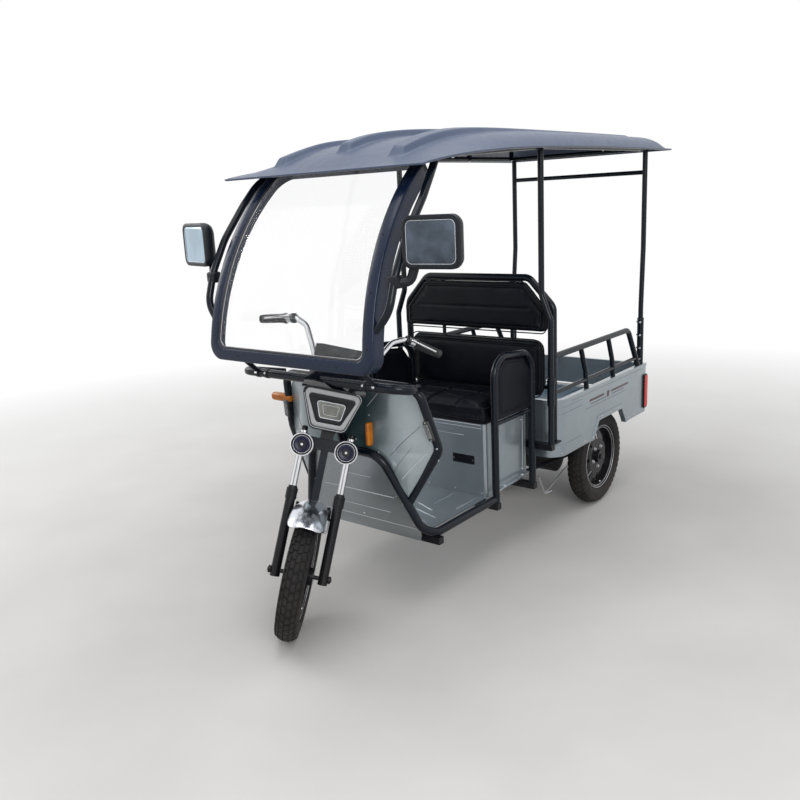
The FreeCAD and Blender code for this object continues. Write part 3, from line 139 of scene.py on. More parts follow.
def math_node(tree, operation, *sources):
    """A value worked out from one or two others."""
    made = tree.nodes.new("ShaderNodeMath")
    made.operation = operation
    for source, socket in zip(sources, made.inputs):
        tree.links.new(source, socket)
    return made.outputs["Value"]


def axes_of(tree, vector):
    """The three coordinates of a vector, by the names X, Y and Z."""
    made = tree.nodes.new("ShaderNodeSeparateXYZ")
    tree.links.new(vector, made.inputs["Vector"])
    return made.outputs


def colour_mix(tree, mode="MIX"):
    """A node that mixes two colours."""
    made = tree.nodes.new("ShaderNodeMix")
    made.data_type = "RGBA"
    made.blend_type = mode
    return made


def shade(colour, factor):
    """A colour made lighter or darker."""
    return tuple(min(1.0, channel * factor) for channel in colour)


def dusted(tree, place, clean, dust, top, strength):
    """Mixes dust over a colour, thickest at the ground and gone above a height in metres."""
    height = spread(tree, axes_of(tree, place)["Z"], strength, 0.0, 0.0, top)
    patches = spread(tree, noise_node(tree, place, 9.0, 6.0, 0.7), 0.25, 1.0, 0.35, 0.65)
    mix = colour_mix(tree)
    tree.links.new(math_node(tree, "MULTIPLY", height, patches), mix.inputs["Factor"])
    tree.links.new(clean, mix.inputs["A"])
    mix.inputs["B"].default_value = (*dust, 1)
    return mix.outputs["Result"]


def surface(name, colour, rough, metallic=0.0, coat=0.0, patch=0.08, grain=600.0, depth=0.0, dust=0.0,
            dust_top=0.5, gloss_patch=0.05, specular=0.5):
    """A finish with slow colour patches, fine grain, uneven gloss and dust towards the ground."""
    made, tree, shader, place = node_tree(name)
    slow = noise_node(tree, place, 7.0, 4.0, 0.6)
    tone = ramp(tree, slow, shade(colour, 1 - patch), shade(colour, 1 + patch))
    if dust:
        tone = dusted(tree, place, tone, (0.17, 0.145, 0.12), dust_top, dust)
    tree.links.new(tone, shader.inputs["Base Color"])
    gloss = noise_node(tree, place, 26.0, 5.0, 0.65)
    tree.links.new(spread(tree, gloss, max(0.02, rough - gloss_patch), rough + gloss_patch),
                   shader.inputs["Roughness"])
    shader.inputs["Metallic"].default_value = metallic
    shader.inputs["Coat Weight"].default_value = coat
    shader.inputs["Coat Roughness"].default_value = 0.08
    shader.inputs["Specular IOR Level"].default_value = specular
    if depth:
        bump(tree, shader, noise_node(tree, place, grain, 2.0, 0.5), 0.5, depth)
    return made


def chrome_with_painted_reflection(name, bright, dark):
    """Chrome whose colour holds a painted reflection: a dark band painted on the faces turned across the
    vehicle.
    """
    made, tree, shader, place = node_tree(name)
    geometry = tree.nodes.new("ShaderNodeNewGeometry")
    turned_across = axes_of(tree, geometry.outputs["Normal"])["X"]
    reflection_band = tree.nodes.new("ShaderNodeValToRGB")
    stops = ((0.0, bright), (0.28, dark), (0.40, bright), (0.66, bright), (0.80, dark), (0.92, bright))
    for position, _ in stops[2:]:
        reflection_band.color_ramp.elements.new(position)
    for element, (position, _) in zip(reflection_band.color_ramp.elements, stops):
        element.position = position
    for element, (_, colour) in zip(reflection_band.color_ramp.elements, stops):
        element.color = (*colour, 1)
    tree.links.new(spread(tree, turned_across, 0.0, 1.0, -1.0, 1.0), reflection_band.inputs["Fac"])
    tree.links.new(reflection_band.outputs["Color"], shader.inputs["Base Color"])
    gloss = noise_node(tree, place, 26.0, 5.0, 0.65)
    tree.links.new(spread(tree, gloss, 0.09, 0.17), shader.inputs["Roughness"])
    shader.inputs["Metallic"].default_value = 1.0
    return made


def metallic_paint(name, colour, dust=0.25, dust_top=0.55, metallic=0.45, rough=0.36, painted_shade=None):
    """Lacquered paint with flakes and a faint orange peel.

    A painted shade holds a dark colour that stands in for shade and dark reflections, and the distances from
    the vehicle's middle between which it gives way.
    """
    made, tree, shader, place = node_tree(name)
    flakes = tree.nodes.new("ShaderNodeTexVoronoi")
    flakes.inputs["Scale"].default_value = 1500.0
    tree.links.new(place, flakes.inputs["Vector"])
    split = tree.nodes.new("ShaderNodeSeparateColor")
    tree.links.new(flakes.outputs["Color"], split.inputs["Color"])
    tone = ramp(tree, split.outputs["Red"], shade(colour, 0.88), shade(colour, 1.14), 0.1, 0.9)
    slow = ramp(tree, noise_node(tree, place, 5.0, 3.0), (0.93, 0.93, 0.94), (1.0, 1.0, 1.0))
    mix = colour_mix(tree, "MULTIPLY")
    mix.inputs["Factor"].default_value = 1.0
    tree.links.new(tone, mix.inputs["A"])
    tree.links.new(slow, mix.inputs["B"])
    # Painted shade and painted reflection: the colour darkens towards the vehicle's middle.
    if painted_shade:
        painted_shade_colour, inner_end, outer_end = painted_shade
        distance = math_node(tree, "ABSOLUTE", axes_of(tree, place)["X"])
        shade_blend = colour_mix(tree)
        shade_blend.inputs["A"].default_value = (*painted_shade_colour, 1)
        tree.links.new(mix.outputs["Result"], shade_blend.inputs["B"])
        tree.links.new(spread(tree, distance, 0.0, 1.0, inner_end, outer_end), shade_blend.inputs["Factor"])
        mix = shade_blend
    tone = dusted(tree, place, mix.outputs["Result"], (0.26, 0.245, 0.22), dust_top, dust)
    tree.links.new(tone, shader.inputs["Base Color"])
    tree.links.new(spread(tree, noise_node(tree, place, 18.0, 5.0), rough - 0.05, rough + 0.07),
                   shader.inputs["Roughness"])
    shader.inputs["Metallic"].default_value = metallic
    shader.inputs["Coat Weight"].default_value = 0.6
    shader.inputs["Coat Roughness"].default_value = 0.1
    bump(tree, shader, noise_node(tree, place, 160.0, 2.0), 0.12, 0.0004)
    return made


def leather(name, colour, rough=0.42, grain=420.0):
    """Artificial leather: small cells with creases between them."""
    made, tree, shader, place = node_tree(name)
    cells = tree.nodes.new("ShaderNodeTexVoronoi")
    cells.feature = "DISTANCE_TO_EDGE"
    cells.inputs["Scale"].default_value = grain
    tree.links.new(place, cells.inputs["Vector"])
    slow = noise_node(tree, place, 11.0, 5.0, 0.6)
    tone = ramp(tree, slow, shade(colour, 0.8), shade(colour, 1.3))
    tree.links.new(tone, shader.inputs["Base Color"])
    tree.links.new(spread(tree, slow, rough - 0.07, rough + 0.08), shader.inputs["Roughness"])
    shader.inputs["Specular IOR Level"].default_value = 0.12
    bump(tree, shader, cells.outputs["Distance"], 0.35, 0.0012)
    return made


def brushed(name, colour, rough, scale=(900.0, 900.0, 30.0)):
    """Bright metal with fine lines along one direction."""
    made, tree, shader, place = node_tree(name)
    stretch = tree.nodes.new("ShaderNodeMapping")
    stretch.inputs["Scale"].default_value = scale
    tree.links.new(place, stretch.inputs["Vector"])
    lines = noise_node(tree, stretch.outputs["Vector"], 1.0, 2.0)
    tree.links.new(ramp(tree, lines, shade(colour, 0.88), shade(colour, 1.05)), shader.inputs["Base Color"])
    tree.links.new(spread(tree, lines, rough * 0.7, rough * 1.4), shader.inputs["Roughness"])
    shader.inputs["Metallic"].default_value = 1.0
    return made


def clear(name, colour, alpha, rough=0.02):
    """Glass or clear plastic with a faint smear."""
    made, tree, shader, place = node_tree(name)
    smear = noise_node(tree, place, 4.0, 6.0, 0.7)
    tree.links.new(spread(tree, smear, rough, rough + 0.05), shader.inputs["Roughness"])
    tree.links.new(ramp(tree, smear, shade(colour, 0.96), colour), shader.inputs["Base Color"])
    shader.inputs["Transmission Weight"].default_value = 1.0
    shader.inputs["IOR"].default_value = 1.45
    shader.inputs["Alpha"].default_value = alpha
    return made


def lamp_plastic(name, colour):
    """A coloured lens with fine moulded ribs."""
    made, tree, shader, place = node_tree(name)
    waves = tree.nodes.new("ShaderNodeTexWave")
    waves.bands_direction = "Z"
    waves.inputs["Scale"].default_value = 60.0
    tree.links.new(place, waves.inputs["Vector"])
    tree.links.new(ramp(tree, noise_node(tree, place, 40.0), shade(colour, 0.85), shade(colour, 1.1)),
                   shader.inputs["Base Color"])
    shader.inputs["Roughness"].default_value = 0.14
    shader.inputs["Coat Weight"].default_value = 0.15
    shader.inputs["Specular IOR Level"].default_value = 0.3
    shader.inputs["Subsurface Weight"].default_value = 0.05
    shader.inputs["Subsurface Scale"].default_value = 0.004
    bump(tree, shader, waves.outputs["Fac"], 0.35, 0.0008)
    return made


BODY_BLUE = (0.285, 0.330, 0.360)
MAT = {
    "body_blue": metallic_paint("body_blue", BODY_BLUE, dust=0.12, metallic=0.7, rough=0.34),
    "apron_silver": metallic_paint("apron_silver", (0.30, 0.325, 0.34), dust=0.12, metallic=0.7),
    # Painted shade: the cargo floor and the box's inside take the body's blue made dark, for the shade inside
    # the box.
    "cargo_blue": metallic_paint("cargo_blue", (0.045, 0.11, 0.165), dust=0.0, metallic=0.3),
    "roof_blue": surface("roof_blue", (0.056, 0.078, 0.132), 0.40, coat=0.08, patch=0.05, grain=500,
                         depth=0.0003, specular=0.3),
    "black_tube": surface("black_tube", (0.003, 0.006, 0.011), 0.24, coat=0.05, patch=0.15, grain=220,
                          depth=0.0001, dust=0.04, specular=0.22),
    "screen_navy": surface("screen_navy", (0.005, 0.012, 0.034), 0.26, coat=0.05, patch=0.05, grain=300,
                           depth=0.0001, specular=0.28),
    "black_steel": surface("black_steel", (0.006, 0.0065, 0.009), 0.34, coat=0.0, patch=0.2, grain=260,
                           depth=0.0002, dust=0.08, specular=0.25),
    "dark_plastic": surface("dark_plastic", (0.007, 0.009, 0.013), 0.38, patch=0.1, grain=700, depth=0.0003,
                            specular=0.25),
    "gloss_black": surface("gloss_black", (0.004, 0.005, 0.008), 0.14, coat=0.15, patch=0.1, specular=0.3),
    "grey_ring": surface("grey_ring", (0.40, 0.41, 0.42), 0.34, patch=0.05, grain=600, depth=0.0002),
    # Chrome with a painted reflection: dark bands painted into its colour by the way its faces turn.
    "bright_chrome": chrome_with_painted_reflection("bright_chrome", (0.74, 0.75, 0.77), (0.16, 0.165, 0.18)),
    "satin_metal": brushed("satin_metal", (0.55, 0.56, 0.58), 0.28),
    "spring_steel": surface("spring_steel", (0.03, 0.03, 0.032), 0.5, metallic=0.6, patch=0.3, grain=150,
                            depth=0.0006, dust=0.5),
    "rim": surface("rim", (0.005, 0.0055, 0.008), 0.22, coat=0.1, patch=0.15, grain=240, depth=0.0002,
                   dust=0.08, specular=0.25),
    "tyre": surface("tyre", (0.010, 0.010, 0.011), 0.72, patch=0.25, grain=900, depth=0.0005, dust=0.26,
                    dust_top=0.5, specular=0.2),
    "grip_rubber": surface("grip_rubber", (0.03, 0.03, 0.032), 0.7, patch=0.15, grain=1200, depth=0.0005),
    "seat_leather": leather("seat_leather", (0.0045, 0.0052, 0.0085)),
    "piping": leather("piping", (0.008, 0.009, 0.013), 0.35, 900.0),
    "clear_glass": clear("clear_glass", (0.93, 0.97, 0.98), 0.045),
    "lens": clear("lens", (0.95, 0.97, 1.0), 0.55),
    "mirror_face": surface("mirror_face", (0.72, 0.76, 0.80), 0.05, metallic=1.0, patch=0.06,
                           gloss_patch=0.03),
    "red_lens": lamp_plastic("red_lens", (0.62, 0.016, 0.014)),
    "amber_lens": lamp_plastic("amber_lens", (0.50, 0.155, 0.008)),
    "white_lens": lamp_plastic("white_lens", (0.8, 0.8, 0.78)),
    # Dark colour for the cargo walls' stripes, also used as painted shade in the leg shields' creases.
    "stripe_and_crease_shade": surface("stripe_and_crease_shade", (0.045, 0.012, 0.016), 0.35, coat=0.1, patch=0.1),
    "chrome_guard": surface("chrome_guard", (0.72, 0.75, 0.81), 0.20, metallic=1.0, patch=0.02,
                            gloss_patch=0.01),
    # Bright colour for trim lines, and for painted highlights laid along the shields', apron's and seat box's
    # edges and beads.
    "bright_paint": surface("bright_paint", (0.62, 0.65, 0.68), 0.3, coat=0.3, patch=0.05),
    "stripe_soft": surface("stripe_soft", (0.09, 0.10, 0.12), 0.35, coat=0.3, patch=0.1),
    "clip_grey": surface("clip_grey", (0.035, 0.035, 0.034), 0.4, patch=0.12, grain=500, depth=0.0002),
    "roof_dark": surface("roof_dark", (0.02, 0.03, 0.05), 0.35, coat=0.3, patch=0.1),
    "lens_smoke": surface("lens_smoke", (0.13, 0.13, 0.115), 0.10, coat=0.4, patch=0.6),
    "amber_dark": surface("amber_dark", (0.25, 0.05, 0.008), 0.4, patch=0.1),
    # The leg shields' paint, darkened towards the middle as painted shade and painted reflection of the parts
    # in front of them.
    "shield_painted_shade": metallic_paint("shield_painted_shade", (0.33, 0.375, 0.395), dust=0.05,
                                  painted_shade=((0.035, 0.075, 0.085), 0.10, 0.285)),
    # Painted reflections: the near glass is coloured dark and blotchy and the far glass light blue, for what
    # each mirrors.
    "mirror_near": surface("mirror_near", (0.085, 0.105, 0.135), 0.14, metallic=0.8, patch=0.45,
                           gloss_patch=0.05),
    "mirror_far": surface("mirror_far", (0.42, 0.54, 0.64), 0.10, metallic=0.9, patch=0.12, gloss_patch=0.03),
    "bezel_white": surface("bezel_white", (0.80, 0.81, 0.83), 0.25, coat=0.4, patch=0.04),
    "dial": surface("dial", (0.05, 0.045, 0.03), 0.1, coat=1.0, patch=0.3),
    "navy_dish": surface("navy_dish", (0.005, 0.007, 0.028), 0.24, coat=0.05, patch=0.2, specular=0.2),
}
NODE_MATERIAL = {"windscreen_frame": "screen_navy", "fork_yoke": "black_tube"}


def finish_nodes():
    """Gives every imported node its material."""
    for entry in frame["record"]["subparts"]:
        node = NODES[entry["node"]]
        wanted = NODE_MATERIAL.get(entry["node"], entry["material_slot"])
        node.data.materials.clear()
        node.data.materials.append(MAT[wanted])


finish_nodes()


# Building pieces

def dressed(made, body, material):
    made.data.materials.clear()
    made.data.materials.append(MAT[material])
    made.data.shade_smooth()
    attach(made, body)
    return made


def mesh_from(bm, name):
    """A mesh from finished mesh code, its normals turned outwards."""
    mesh = bpy.data.meshes.new(name)
    bmesh.ops.recalc_face_normals(bm, faces=bm.faces)
    bm.to_mesh(mesh)
    bm.free()
    return mesh


def placement(origin, x, y, z):
    """A placement with its origin and its three directions."""
    return Matrix.Translation(origin) @ Matrix((x, y, z)).transposed().to_4x4()


def frame_of(origin, along):
    """A placement whose Z runs along a direction."""
    z = along.normalized()
    helper = UP if abs(z.z) < 0.95 else ACROSS
    x = helper.cross(z).normalized()
    return placement(origin, x, z.cross(x), z)


def circle(place, radius, height, count):
    """Points round the placement's Z axis."""
    return [place @ Vector((radius * math.cos(2 * math.pi * k / count),
                            radius * math.sin(2 * math.pi * k / count), height)) for k in range(count)]


def joined(bm, rings, closed=False):
    """Faces between rings of vertices, and where wished from the last ring to the first."""
    pairs = list(zip(rings, rings[1:])) + ([(rings[-1], rings[0])] if closed else [])
    for low, high in pairs:
        for k in range(len(low)):
            n = (k + 1) % len(low)
            bm.faces.new((low[k], low[n], high[n], high[k]))


def loft(bm, loops, closed=False):
    """A skin through loops of equal length, with its ends filled unless it runs in a ring."""
    rings = [[bm.verts.new(point) for point in loop] for loop in loops]
    joined(bm, rings, closed)
    if not closed:
        bm.faces.new(rings[0])
        bm.faces.new(list(reversed(rings[-1])))


def lathe(bm, profile, place, segments=48):
    """Turns (radius, height) points about the placement's Z axis into a closed skin."""
    rings = [[bm.verts.new(point)
              for point in circle(place, radius, height, segments if radius > 1e-6 else 1)]
             for radius, height in profile]
    for low, high in zip(rings, rings[1:]):
        for k in range(segments):
            n = (k + 1) % segments
            if len(low) == 1 and len(high) == 1:
                continue
            if len(low) == 1:
                bm.faces.new((low[0], high[k], high[n]))
            elif len(high) == 1:
                bm.faces.new((low[k], low[n], high[0]))
            else:
                bm.faces.new((low[k], low[n], high[n], high[k]))


def hexagon(bm, place, across, height):
    """A hexagonal head on a washer, its upper edge chamfered."""
    lathe(bm, [(0, 0), (across * 0.72, 0), (across * 0.72, height * 0.18), (0, height * 0.18)], place, 24)
    radius = across / math.sqrt(3)
    turned = place @ Matrix.Rotation(0.3, 4, "Z")
    lathe(bm, [(0, height * 0.18), (radius, height * 0.18), (radius, height * 0.85), (radius * 0.86, height),
               (0, height)], turned, 6)


def screw(bm, place, radius, height):
    """A pan head with a rounded edge and a recessed socket."""
    lathe(bm, [(0, 0), (radius, 0), (radius, height * 0.45), (radius * 0.8, height), (radius * 0.42, height),
               (radius * 0.34, height * 0.5), (0, height * 0.5)], place, 20)


def rounded_loop(corners, radius, steps=6):
    """Points round a closed outline whose corners are turned as arcs."""
    points = []
    count = len(corners)
    for k, corner in enumerate(corners):
        before = (corners[k - 1] - corner).normalized()
        after = (corners[(k + 1) % count] - corner).normalized()
        angle = before.angle(after)
        cut = radius / math.tan(angle / 2)
        centre = corner + (before + after).normalized() * (radius / math.sin(angle / 2))
        first = corner + before * cut - centre
        last = corner + after * cut - centre
        sweep = first.angle(last)
        for step in range(steps + 1):
            share = step / steps
            points.append(centre + (first * math.sin((1 - share) * sweep) + last * math.sin(share * sweep))
                          / math.sin(sweep))
    return points


def sweep(bm, points, radius, closed=False, segments=8, flat=1.0):
    """A round or flattened bead along points."""
    loops = []
    count = len(points)
    side = None
    for k, point in enumerate(points):
        ahead_point = points[(k + 1) % count] if closed or k < count - 1 else point
        back_point = points[k - 1] if closed or k > 0 else point
        along = (ahead_point - back_point).normalized()
        if side is None:
            helper = UP if abs(along.z) < 0.9 else ACROSS
            side = along.cross(helper).normalized()
        side = (side - along * side.dot(along)).normalized()
        up = along.cross(side)
        angles = [2 * math.pi * s / segments for s in range(segments)]
        loops.append([point + (side * math.cos(angle) + up * math.sin(angle) * flat) * radius
                      for angle in angles])
    loft(bm, loops, closed)


def slab(bm, loop, thickness, crown=0.0):
    """A closed outline given thickness along its normal, its face crowned towards the middle."""
    middle = sum(loop, Vector()) / len(loop)
    normal = Vector()
    for a, b in zip(loop, loop[1:] + loop[:1]):
        normal += (a - middle).cross(b - middle)
    normal.normalize()
    loops = [loop]
    for share in (1.0, 0.94, 0.8, 0.55, 0.28):
        rise = thickness + crown * (1 - share ** 2) - (thickness * 0.35 if share == 1.0 else 0)
        loops.append([middle + (point - middle) * share + normal * rise for point in loop])
    loft(bm, loops)


# Steered frame: X across, Y back, Z up along the steering axis, from the head point
head = Vector(JOINTS["steering_turn"]["pos_m"])
head_z = Vector(JOINTS["steering_turn"]["axis"]).normalized()
head_x = Vector(JOINTS["front_wheel_spin"]["axis"]).normalized()
STEER = placement(head, head_x, head_z.cross(head_x), head_z)


def fork(x, ahead_mm, up):
    """A point that turns with the bar, in millimetres across, ahead of and up the steering axis."""
    return STEER @ Vector((x / 1000, -ahead_mm / 1000, up / 1000))


def fork_direction(x, ahead_share, up):
    """A direction that turns with the bar."""
    return (STEER.to_3x3() @ Vector((x, -ahead_share, up))).normalized()


FORK_AHEAD = fork_direction(0, 1, 0)
STANCHION_X, STANCHION_AHEAD = 91, 10
LAMP_X, LAMP_UP = 84, -399


# Wheels

TYRE_RADIUS = 0.246
RIM_RADIUS = 0.1663
TREAD_DEPTH = 0.0055
TREAD_HALF = 0.0385
TREAD_ROWS = 46
CROWN_DROP = 0.0155
BOLT_CIRCLE = 0.055
WHEEL_BOLTS = 5
# Tread blocks of one row: their edges across the crown, their start and stop in rows, their skew
TREAD_BLOCKS = ((-0.10, 0.34, 0.0, 0.80, 0.035), (-0.56, -0.16, 0.45, 1.27, -0.05),
                (0.40, 0.78, 0.30, 1.08, 0.04), (0.84, 1.05, 0.62, 1.34, 0.02),
                (-0.84, -0.62, 0.1, 0.9, -0.03), (-1.05, -0.90, 0.55, 1.3, 0.03))


def crown_radius(across):
    """The carcass's radius at a place across the tread in -1..1."""
    return TYRE_RADIUS - TREAD_DEPTH - CROWN_DROP * abs(across) ** 2.1


def crown_point(across, lift, angle):
    """A point on the tread: across in -1..1, lifted from the carcass, at an angle round the axle."""
    radius = crown_radius(across) + lift
    return Vector((across * TREAD_HALF, radius * math.sin(angle), radius * math.cos(angle)))


def tread_block(bm, place, left, right_end, start, stop, skew):
    """One tread block between two places across the crown, its front and back edges skewed."""
    steps = 3
    lower, upper = [], []
    for k in range(steps + 1):
        share = k / steps
        across = left + (right_end - left) * share
        shift = skew * (across - left)
        for ring, lift, inset in ((lower, -0.002, 0.0), (upper, TREAD_DEPTH, 0.0022)):
            squeeze = inset / TYRE_RADIUS
            taper = 0.02 if ring is upper else 0.0
            inner = across + (taper if k == 0 else -taper if k == steps else 0)
            ring.append((bm.verts.new(place @ crown_point(inner, lift, start + shift + squeeze)),
                         bm.verts.new(place @ crown_point(inner, lift, stop + shift - squeeze))))
    for a, b in zip(upper, upper[1:]):
        bm.faces.new((a[0], b[0], b[1], a[1]))
    for side in (0, 1):
        for k in range(steps):
            bm.faces.new((lower[k][side], lower[k + 1][side], upper[k + 1][side], upper[k][side]))
    for k in (0, steps):
        bm.faces.new((lower[k][0], lower[k][1], upper[k][1], upper[k][0]))


def tyre(name, body, node, joint):
    """A tyre with a carcass, side ribs and rows of tread blocks with sipes between them."""
    centre = Vector(JOINTS[joint]["pos_m"])
    axis = Vector(JOINTS[joint]["axis"]).normalized()
    y = UP.cross(axis).normalized()
    place = placement(centre, axis, y, axis.cross(y))
    bm = bmesh.new()
    turned = place @ Matrix.Rotation(math.radians(90), 4, "Y")
    half = [(RIM_RADIUS, 0.030), (RIM_RADIUS + 0.005, 0.0325), (RIM_RADIUS + 0.0055, 0.0365), (0.178, 0.0395),
            (0.186, 0.0415), (0.190, 0.0428), (0.192, 0.0430), (0.194, 0.0424), (0.203, 0.0426),
            (0.205, 0.0420), (0.207, 0.0424), (0.214, 0.0420), (0.221, 0.0405), (0.2245, 0.0385)]
    crown = [(crown_radius(across), TREAD_HALF * across) for across in (0.9, 0.75, 0.6, 0.4, 0.2)]
    profile = half + crown + [(crown_radius(0), 0)]
    profile += [(r, -x) for r, x in reversed(half + crown)]
    profile += [(RIM_RADIUS, -0.030), (RIM_RADIUS, 0.030)]
    lathe(bm, profile, turned, 120)
    step = 2 * math.pi / TREAD_ROWS
    for row in range(TREAD_ROWS):
        for left, right_end, start, stop, skew in TREAD_BLOCKS:
            tread_block(bm, place, left, right_end, (row + start) * step, (row + stop) * step, skew)
    made = dressed(placed(name, mesh_from(bm, name)), body, "tyre")
    made.data.shade_flat()
    bpy.context.view_layer.objects.active = made
    made.data.set_sharp_from_angle(angle=math.radians(32))
    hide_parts(node)
    return place


def wheel_trim(body, place, outward):
    """A bright line on the rim's lip, wheel bolts and a valve."""
    turned = place @ Matrix.Rotation(math.radians(90), 4, "Y")
    bm = bmesh.new()
    for side in (-1, 1):
        for radius, out, size in ((0.1648, 0.0332, 0.0016), (0.1535, 0.0285, 0.0011)):
            sweep(bm, circle(turned, radius, side * out, 96), size, closed=True, segments=8)
    dressed(placed(body + "_lip_line", mesh_from(bm, body + "_lip_line")), body, "satin_metal")
    bm = bmesh.new()
    for spot in circle(turned, BOLT_CIRCLE, outward * 0.016, WHEEL_BOLTS):
        direction = (turned.to_3x3() @ Vector((0, 0, outward))).normalized()
        hexagon(bm, frame_of(spot, direction), 0.015, 0.009)
    stem = turned @ Vector((0.14, 0.0, outward * 0.02))
    direction = (turned.to_3x3() @ Vector((-0.4, 0, outward))).normalized()
    lathe(bm, [(0, -0.012), (0.0035, -0.012), (0.0035, 0.006), (0.0048, 0.006), (0.0048, 0.014), (0, 0.0155)],
          frame_of(stem, direction), 12)
    dressed(placed(body + "_bolts", mesh_from(bm, body + "_bolts")), body, "satin_metal")


WHEELS = (("front_wheel", "front_tyre", 1), ("rear_left_wheel", "rear_tyre_left", 1),
          ("rear_right_wheel", "rear_tyre_right", -1))
WHEEL_PLACES = [tyre(node + "_treaded", wheel, node, wheel + "_spin") for wheel, node, _ in WHEELS]
for (wheel, _, facing), wheel_place in zip(WHEELS, WHEEL_PLACES):
    wheel_trim(wheel, wheel_place, facing)


# Reading points off finished surfaces

TREES = {}


def tree_of(names):
    """A search tree over the surfaces of nodes."""
    if names not in TREES:
        bm = bmesh.new()
        for name in names:
            for shown in SURFACES.get(name, [NODES[name]]):
                copy = shown.data.copy()
                copy.transform(shown.matrix_world)
                bm.from_mesh(copy)
                bpy.data.meshes.remove(copy)
        TREES[names] = BVHTree.FromBMesh(bm)
        bm.free()
    return TREES[names]


def onto(names, point, direction, reach=0.15):
    """Where a ray meets a surface, and the surface's normal facing back along the ray."""
    direction = direction.normalized()
    hit, normal, _, _ = tree_of(names).ray_cast(point - direction * reach, direction, 3 * reach)
    if hit is None:
        return point, -direction
    return hit, (normal if normal.dot(direction) < 0 else -normal)


def border(grid):
    """What lies round the edge of a grid, in order."""
    return grid[0] + [row[-1] for row in grid[1:]] + grid[-1][-2::-1] + [row[0] for row in grid[-2:0:-1]]


def shell(bm, outer, inner):
    """A closed sheet between two grids of points."""
    skins = [[[bm.verts.new(point) for point in row] for row in rows] for rows in (outer, inner)]
    for grid in skins:
        for low, high in zip(grid, grid[1:]):
            for k in range(len(low) - 1):
                bm.faces.new((low[k], low[k + 1], high[k + 1], high[k]))
    joined(bm, [border(grid) for grid in skins])


def laid_patch(bm, names, corners, direction, lift, columns=20, rows=4):
    """A thin closed sheet laid on a surface between four corners, its edges lower than its middle."""
    a, b, c, d = corners
    sunk = 0.0006
    upper, lower = [], []
    for j in range(rows + 1):
        v = j / rows
        upper.append([])
        lower.append([])
        for i in range(columns + 1):
            u = i / columns
            flat = (a * (1 - u) + b * u) * (1 - v) + (d * (1 - u) + c * u) * v
            hit, normal = onto(names, flat, direction)
            edge = 0.55 if i in (0, columns) or j in (0, rows) else 1.0
            upper[-1].append(hit + normal * lift * edge)
            lower[-1].append(hit - normal * sunk)
    shell(bm, upper, lower)


def laid_line(bm, names, points, direction, radius, lift=0.0, flat=0.6, steps=10):
    """A bead that follows a surface between points."""
    path = []
    for first, last in zip(points, points[1:]):
        for k in range(steps + (last is points[-1])):
            hit, normal = onto(names, first + (last - first) * (k / steps), direction)
            path.append(hit + normal * lift)
    sweep(bm, path, radius, segments=8, flat=flat)


def side_copy(point, side):
    """The point itself for side 1, its mirror image across the vehicle for side -1."""
    return Vector((point.x * side, point.y, point.z))


def fastened(bm, names, point, direction, across, height, style=hexagon):
    """A fastener's head seated on a surface where a ray meets it."""
    seated = 0.0008
    hit, normal = onto(names, point, direction)
    style(bm, frame_of(hit - normal * seated, normal), across, height)


def finished(bm, name, body, material):
    """A piece from mesh code, smooth but for its sharp edges."""
    made = dressed(placed(name, mesh_from(bm, name)), body, material)
    made.data.set_sharp_from_angle(angle=math.radians(40))
    return made


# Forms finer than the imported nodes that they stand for

SURFACES = {}


def stands_for(made, *nodes):
    """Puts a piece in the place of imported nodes; details laid on those nodes then lie on the piece."""
    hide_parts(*nodes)
    for node in nodes:
        SURFACES.setdefault(node, []).append(made)


def soft_path(points, bend):
    """A route whose corners are turned as arcs."""
    path = [points[0]]
    for before, corner, after in zip(points, points[1:], points[2:]):
        a, b = (before - corner).normalized(), (after - corner).normalized()
        angle = a.angle(b)
        if angle > 3.1:
            path.append(corner)
            continue
        cut = min(bend / math.tan(angle / 2), 0.48 * min((before - corner).length, (after - corner).length))
        radius = cut * math.tan(angle / 2)
        centre = corner + (a + b).normalized() * (radius / math.sin(angle / 2))
        first, last = corner + a * cut - centre, corner + b * cut - centre
        turned = first.angle(last)
        steps = max(4, int(turned * radius / 0.007))
        shares = [k / steps for k in range(steps + 1)]
        path += [centre + (first * math.sin((1 - share) * turned) + last * math.sin(share * turned))
                 / math.sin(turned) for share in shares]
    path.append(points[-1])
    return path


def pipe(bm, points, radius_mm, bend_mm=55.0, segments=20):
    """A tube along a route, bent at its corners."""
    sweep(bm, soft_path(points, bend_mm / 1000), radius_mm / 1000, segments=segments)


def mirrored_route(points):
    """A route that goes on as its own mirror image across the vehicle."""
    return points + [side_copy(point, -1) for point in reversed(points)]


def hoop_point(x, z, ahead_mm=0.0):
    """A point on the sloping plane of the front hoop."""
    return at(x, 386 - (z - 356) * 0.2877 - ahead_mm, z)


def sheet_grid(bm, rows, thickness):
    """A sheet through rows of points, given thickness along a vector."""
    shell(bm, rows, [[point + thickness for point in row] for row in rows])


def smooth_rows(rows, steps):
    """Rows of points with smooth rows put between them."""
    result = []
    for k in range(len(rows) - 1):
        a, b, c, d = rows[max(k - 1, 0)], rows[k], rows[k + 1], rows[min(k + 2, len(rows) - 1)]
        for step in range(steps):
            t = step / steps
            result.append([(2 * q + (r - p) * t + (2 * p - 5 * q + 4 * r - s) * t * t
                            + (3 * q - p - 3 * r + s) * t ** 3) / 2 for p, q, r, s in zip(a, b, c, d)])
    result.append(rows[-1])
    return result


GUARD_TUBE, GUARD_STRUT = 17, 10
GUARD_BAR_Y, GUARD_BAR_Z = 161, 958


